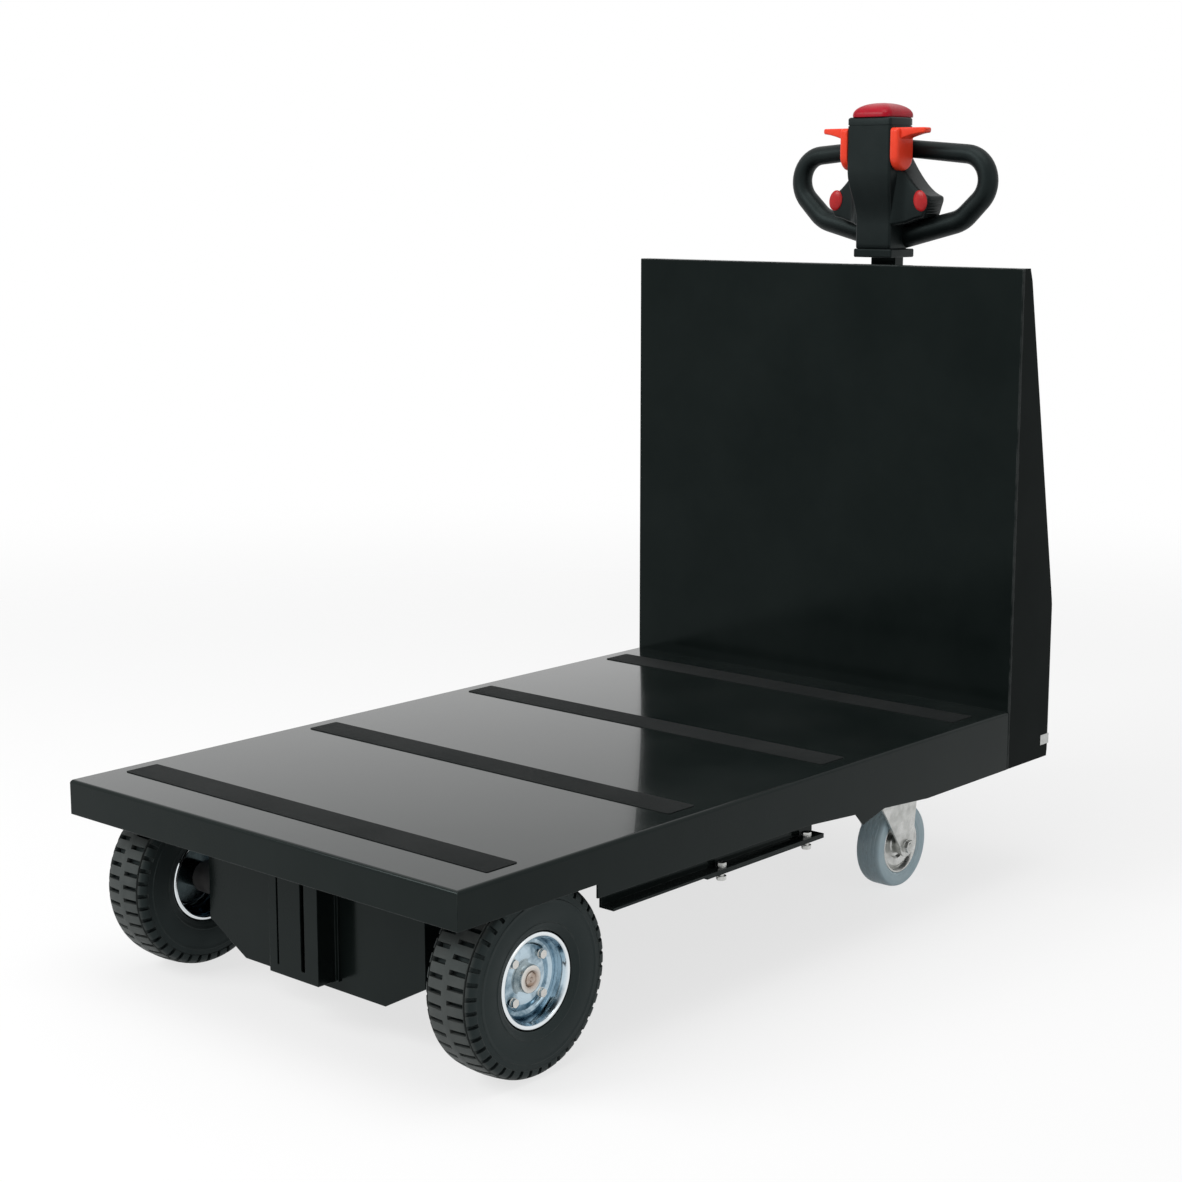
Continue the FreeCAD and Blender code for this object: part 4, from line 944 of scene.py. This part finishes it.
def head_shell(low, high):
    """The head as stacked rounded rectangles; the front and sides ease back to a narrower spine."""
    levels = np.concatenate([[0.0, 0.0006, 0.002], np.linspace(0.008, 0.15, 26),
        high.z - low.z - np.array([0.013, 0.0128, 0.0116, 0.0114, 0.003, 0.0016, 0.0007, 0.0001,
        0.0])])
    inset = np.concatenate([[0.0016, 0.0005, 0.0], np.zeros(26),
        [0.0, 0.0011, 0.0011, 0.0, 0.0, 0.0004, 0.0013, 0.0026, 0.003]])
    rings = []
    for level, gap in zip(levels, inset):
        bend = ease((level - bend_foot) / (bend_top - bend_foot))
        half = high.x - head_narrowing * (1.0 - bend) - gap
        front = low.y + head_setback * (1.0 - bend) + gap
        back = 0.019 + 0.005 * bend
        rings.append(corner_ring(-half, half, front, high.y - gap, (back, back, 0.0045, 0.0045)))
    return skin(raised(rings, low.z + levels))


def pod_shells(low, high, side):
    """One pod: rounded rectangles along X whose top falls in a hollow curve to the slanting end."""
    out = np.array([0.022, 0.03, 0.036, 0.04, 0.044, 0.05, 0.056, 0.063, 0.07, 0.077, 0.084,
        0.0888, 0.091, 0.0922, 0.0928]) * (high.x / 0.094)
    share = (high.x - out) / (high.x - 0.0475)
    top = low.z + pod_fall_end + pod_fall * np.maximum(share, 0.0) ** 1.7
    under = low.z + pod_root_drop * np.clip((out - 0.032) / 0.054, 0.0, 1.0)
    lean = pod_lean * ease((out - 0.045) / 0.04)
    front = low.y - 0.011 * (1.0 - ease((out - 0.032) / 0.018))
    gap = np.array([0.0] * 12 + [0.0006, 0.0018, 0.0038])
    rings = []
    for x, slant, high_z, low_z, y, inset in zip(out, lean, top, under, front, gap):
        flat = corner_ring(y + inset, high.y - inset, low_z + inset, high_z - inset,
            (0.007, 0.007, 0.005, 0.005))
        fall = slant * (high_z - flat[:, 1]) / (high_z - low_z)
        rings.append(np.column_stack([side * (x - fall), flat]))
    rows = np.linspace(under[-4] + 0.0055, top[-4] - 0.006, pod_ribs * 6 + 1)
    turn = (rows - rows[0]) / (rows[-1] - rows[0]) * math.pi * (2 * pod_ribs - 1)
    swell = np.maximum(np.sin(turn), 0.0)
    ribs = []
    for z, rise in zip(rows, swell):
        flat = corner_ring(high.x - 0.004, high.x - 0.001 + 0.001 * rise, low.y + 0.007,
            high.y - 0.007, (0.0012, 0.0012, 0.0012, 0.0012), 3)
        fall = pod_lean * (top[-4] - z) / (top[-4] - under[-4])
        ribs.append(np.column_stack([side * (flat[:, 0] - fall), flat[:, 1]]))
    return [skin(np.array(rings)), skin(raised(ribs, rows))]


def scaled(flat, keep, level):
    """A closed shell of one flat ring, scaled and raised row by row."""
    return skin(raised(keep[:, None, None] * flat, level))


def oval_cap(half_x, half_z, rise, rim):
    """A shallow dome about +Z: (a cos t cos s, b sin t cos s, rim + rise sin s), closed below."""
    s = np.linspace(0.0, math.pi / 2.0, 9)
    keep = np.concatenate([[0.0, 1.0], np.cos(s)])
    level = np.concatenate([[0.0, 0.0], rim + rise * np.sin(s)])
    flat = turned(1.0, full_turn(48), 0.0)[:, :2] * (half_x, half_z)
    return scaled(flat, keep, level)


def leaning(shell, angle):
    """A shell turned about +Z by an angle."""
    c, s = math.cos(angle), math.sin(angle)
    return shell[0] @ np.array([[c, s, 0.0], [-s, c, 0.0], [0.0, 0.0, 1.0]]), shell[1]


def crown_cap(half_x, half_y, corner, side_rise, rise):
    """A cushion about +Z: a rounded rectangle scaled by cos s while it climbs by sin s."""
    s = np.linspace(0.0, math.pi / 2.0, 16)
    keep = np.concatenate([[0.0, 0.975, 1.0], np.cos(s) ** 0.92])
    level = np.concatenate([[0.0, 0.0, 0.0008], side_rise + (rise - side_rise) * np.sin(s)])
    return scaled(rounded_ring(half_x, half_y, corner, 10), keep, level)


def lever_shells(low, high, face, side):
    """One butterfly lever: a flat-topped disc along X, and a wing that thins towards its tip."""
    thick = 0.014
    middle = (low.y + high.y) / 2.0
    half = (high.y - low.y) / 2.0
    disc = []
    for x, gap in ((face, 0.0006), (face + 0.0006, 0.0), (face + thick - 0.0042, 0.0),
            (face + thick - 0.0024, 0.0006), (face + thick - 0.001, 0.0018),
            (face + thick - 0.0002, 0.0034), (face + thick, 0.005)):
        flat = corner_ring(middle - half + gap, middle + half - gap, low.z + gap,
            high.z - gap * 0.6, (0.006 - gap * 0.5, 0.006 - gap * 0.5, half - gap, half - gap), 11)
        disc.append(np.column_stack([np.full(len(flat), side * x), flat]))
    root = face + thick * 0.35
    tip = high.x - np.array([0.0014, 0.0004, 0.0])
    x = np.concatenate([np.linspace(root, high.x - 0.003, 16), tip])
    share = (high.x - x) / (high.x - root)
    thin = 0.0082 + 0.012 * share ** 1.7
    wide = 0.0125 - 0.003 * ease(1.0 - share * 2.2) + 0.003 * share
    gap = np.concatenate([np.zeros(16), [0.0004, 0.0012, 0.0022]])
    wing = []
    for place, t, w, g in zip(x, thin, wide, gap):
        flat = corner_ring(middle - w + g, middle + w - g, high.z - t + g, high.z - g,
            (0.0018, 0.0018, 0.0022, 0.0022), 5)
        wing.append(np.column_stack([np.full(len(flat), side * place), flat]))
    return [skin(np.array(disc)), skin(np.array(wing))]


def rounded_run(corners, radii, bend_points=12):
    """A path of straight runs joined by arcs that touch them: points on each arc and the ends."""
    corners = np.array(corners, float)
    run = [corners[:1]]
    for corner, before, after, radius in zip(corners[1:-1], corners[:-2], corners[2:], radii):
        back = (before - corner) / np.linalg.norm(before - corner)
        on = (after - corner) / np.linalg.norm(after - corner)
        half = math.acos(float(back @ on)) / 2.0
        middle = (back + on) / np.linalg.norm(back + on)
        centre = corner + middle * radius / math.sin(half)
        first = corner + back * radius / math.tan(half) - centre
        second = corner + on * radius / math.tan(half) - centre
        share = np.linspace(0.0, 1.0, bend_points)[:, None]
        sweep = math.pi - 2.0 * half
        arc = first * np.sin((1.0 - share) * sweep) + second * np.sin(share * sweep)
        run.append(centre + arc / math.sin(sweep))
    run.append(corners[-1:])
    return np.concatenate(run)


def tube_in_xz(path, start_radius, end_radius, sides=40):
    """A tube along a path in an XZ plane: p + r (cos a Y + sin a B), B square to path and Y."""
    way = np.gradient(path, axis=0)
    way /= np.linalg.norm(way, axis=1)[:, None]
    across = np.array([0.0, 1.0, 0.0])
    square = np.cross(way, across)
    gone = np.concatenate([[0.0], np.cumsum(np.linalg.norm(np.diff(path, axis=0), axis=1))])
    radius = start_radius + (end_radius - start_radius) * ease(gone / gone[-1])
    a = full_turn(sides)[:, None]
    ring = np.cos(a) * across + np.sin(a) * square[:, None, :]
    return skin(path[:, None, :] + radius[:, None, None] * ring)


def glossy_plastic(name, fresh, deep, rough):
    """Coloured moulding: a slow drift of colour, small scratches in gloss and a pale edge."""
    return make_material(name, {"Specular IOR Level": 0.18}, (800.0, 36.0), fresh,
        [("Mottle", 0.0, 1.0, 0.3, 0.75, deep)], ("Fine", rough - 0.05, rough + 0.1, 0.35, 0.7),
        (0.12, 0.0003), (fresh, 0.0016, 0.35, 100.0))


# Spark-eroded black moulding: fine pebble in bump and gloss, polished pale along edges.
plastic = make_material("head_plastic", {"Specular IOR Level": 0.16, "Specular Tint": coat_sheen},
    (1300.0, 30.0), plastic_dark, [("Mottle", 0.0, 0.35, 0.3, 0.7, plastic_worn)],
    ("Fine", 0.32, 0.5, 0.3, 0.7), (0.35, 0.0004), (plastic_worn, 0.002, 0.6, 80.0), (0.12, 25.0))
orange = glossy_plastic("orange_plastic", orange_fresh, orange_deep, 0.28)
crimson = glossy_plastic("crimson_plastic", crimson_fresh, crimson_deep, 0.3)
button_red = glossy_plastic("button_red", button_fresh, button_deep, 0.2)
rounded_copy("head_base", 0.0025, plastic, "head_plastic", "frame", "clamp")

body_low, body_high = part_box("head_body")
fit(build("head_shell", [head_shell(body_low, body_high)], 40.0), plastic, "head_plastic", "frame",
    "head_body")

pods_low, pods_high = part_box("head_pods")
pods = pod_shells(pods_low, pods_high, -1.0) + pod_shells(pods_low, pods_high, 1.0)
fit(build("switch_pods", pods, 40.0), plastic, "head_plastic", "frame", "head_pods")

high, middle = box_of("side_buttons")[1:3]
cap = oval_cap(button_half_width, button_half_height, button_rise, button_rim)
buttons = []
for side in (-1.0, 1.0):
    place = (side * (high[0] - 0.015), pods_low.y + 0.0004, middle[2])
    buttons.append(point_along(leaning(cap, side * button_tilt), place, (0.0, -1.0, 0.0)))
fit(build("travel_buttons", buttons), button_red, "orange_plastic", "frame", "side_buttons")

low, high, middle, half = box_of("reversing_button")
crown = crown_cap(half[0], half[1], crown_corner, crown_side, high[2] - low[2])
fit(build("crown_button", [point_along(crown, (0.0, middle[1], low[2]), up)], 50.0), crimson,
    "crimson_plastic", "frame", "reversing_button")

levers_low, levers_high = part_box("thumb_levers")
face = body_high.x + lever_gap
levers = [lever_shells(levers_low, levers_high, face, side) for side in (-1.0, 1.0)]
levers = levers[0] + levers[1]
fit(build("butterfly_levers", levers, 45.0), orange, "orange_plastic", "frame", "thumb_levers")

for side_name, side in sides:
    low, high, middle, half = box_of("grip_" + side_name)
    reach = max(abs(low[0]), abs(high[0])) - grip_thin
    top = high[2] - grip_thin
    foot = low[2] + half[1]
    corners = [(0.0335, top), (reach, top - 0.012), (reach, top - 0.066), (0.128, foot + 0.026),
        (0.022, foot)]
    path = rounded_run([(side * x, middle[1], z) for x, z in corners], [0.04, 0.042, 0.05])
    fit(build("grip_loop_" + side_name, [tube_in_xz(path, grip_thin, half[1])], 60.0), plastic,
        "head_plastic", "frame", "grip_" + side_name)


# ---- controls and blank plate on the column ----
# On the sloping rear cover: a zinc key switch with its key, and a round battery gauge
# with plain marks. On the side of the column: a small blank aluminium plate.

cover_fall = 0.118 - 0.027
cover_rise = 0.615 - 0.12
gauge_proud = 0.005
gauge_face = gauge_proud - 0.0022
gauge_sunk = gauge_face - 0.0004
key_thick = 0.0022
plate_pale = (0.56, 0.57, 0.56, 1.0)
plate_dull = (0.4, 0.41, 0.4, 1.0)
bezel_dark = (0.018, 0.0185, 0.019, 1.0)
bezel_light = (0.034, 0.035, 0.036, 1.0)
mark_pale = (0.62, 0.62, 0.6, 1.0)
mark_dull = (0.45, 0.45, 0.44, 1.0)


def brush_plate(name, pale, dull, metallic):
    """Pale plate or print: fine streaks in colour and gloss, duller in patches."""
    return make_material(name, {"Metallic": metallic}, (1600.0, 110.0), pale,
        [("Mottle", 0.0, 1.0, 0.3, 0.7, dull)], ("Fine", 0.28, 0.5, 0.3, 0.7), (0.15, 0.0002))


def bar(half_x, half_y, low, high, place, turn):
    """A small eased block about +Z, moved out to a place and turned about +Z by an angle."""
    small = min(half_x, half_y)
    return leaning(pad(place, half_x, half_y, small * 0.4, low, high, small * 0.3), turn)


cover_normal = np.array([0.0, cover_rise, cover_fall])
cover_normal /= np.linalg.norm(cover_normal)
middle, half = box_of("charge_gauge")[2:]
gauge_base = middle - cover_normal * gauge_proud / 2.0
gauge_radius = half[0]
bezel = lathe([(0.0, 0.0), (gauge_radius, 0.0)] + steps_from(gauge_radius, gauge_proud,
    [(0.0, -1.6), (-1.2, -0.4), (-3.0, 0.0), (-4.5, -0.6), (-5.5, -2.2)]) + [(0.0, gauge_face)], 96)
marks = [bar(0.0005, 0.0016 if number % 5 else 0.0026, gauge_sunk, gauge_face + 0.0003,
    (0.0, gauge_radius - 0.009), math.radians(-120.0 + 24.0 * number)) for number in range(11)]
marks.append(bar(0.0006, 0.007, gauge_sunk, gauge_face + 0.0006, (0.0, 0.0055),
    math.radians(-62.0)))
marks.append(lathe([(0.0, gauge_sunk), (0.0022, gauge_sunk), (0.0022, gauge_face + 0.0008),
    (0.0, gauge_face + 0.001)], 24))
fit(build("gauge_bezel", [point_along(bezel, gauge_base, cover_normal)]),
    cast_finish("gauge_face", bezel_dark, bezel_light, 1200.0, 0.26, 0.1), "gauge_face", "frame",
    "charge_gauge")
fit(build("gauge_marks", [point_along(mark, gauge_base, cover_normal) for mark in marks]),
    brush_plate("gauge_print", mark_pale, mark_dull, 0.0), "plain_plate", "frame")

key_base = (box_of("key_switch")[2][0], gauge_base[1], gauge_base[2])
barrel = lathe([(0.0, 0.0), (0.013, 0.0), (0.013, 0.0022), (0.0108, 0.0028), (0.0106, 0.0056),
    (0.0098, 0.0068), (0.007, 0.0068), (0.0066, 0.006), (0.0, 0.006)], 64)
shaft = bar(key_thick / 2.0, 0.0034, 0.0052, 0.0092, (0.0, 0.0), 0.0)
bow_ring = rounded_ring(0.0058, 0.0024, 0.0022, 6)
bow_hole = rounded_ring(0.0024, 0.001, 0.0009, 6)
bow_loops = [np.column_stack([np.full(24, x), flat[:, 0], flat[:, 1] + 0.0113])
    for x, flat in ((-key_thick / 2.0, bow_ring), (key_thick / 2.0, bow_ring),
    (key_thick / 2.0, bow_hole), (-key_thick / 2.0, bow_hole))]
bow = skin(np.array(bow_loops), joined=True)
fit(build("key_lock", [point_along(shell, key_base, cover_normal)
    for shell in (barrel, shaft, bow)]), zinc, "bright_zinc", "frame", "key_switch")
rounded_copy("label_plate", 0.0002, brush_plate("blank_plate", plate_pale, plate_dull, 1.0),
    "plain_plate", "frame", "blank")
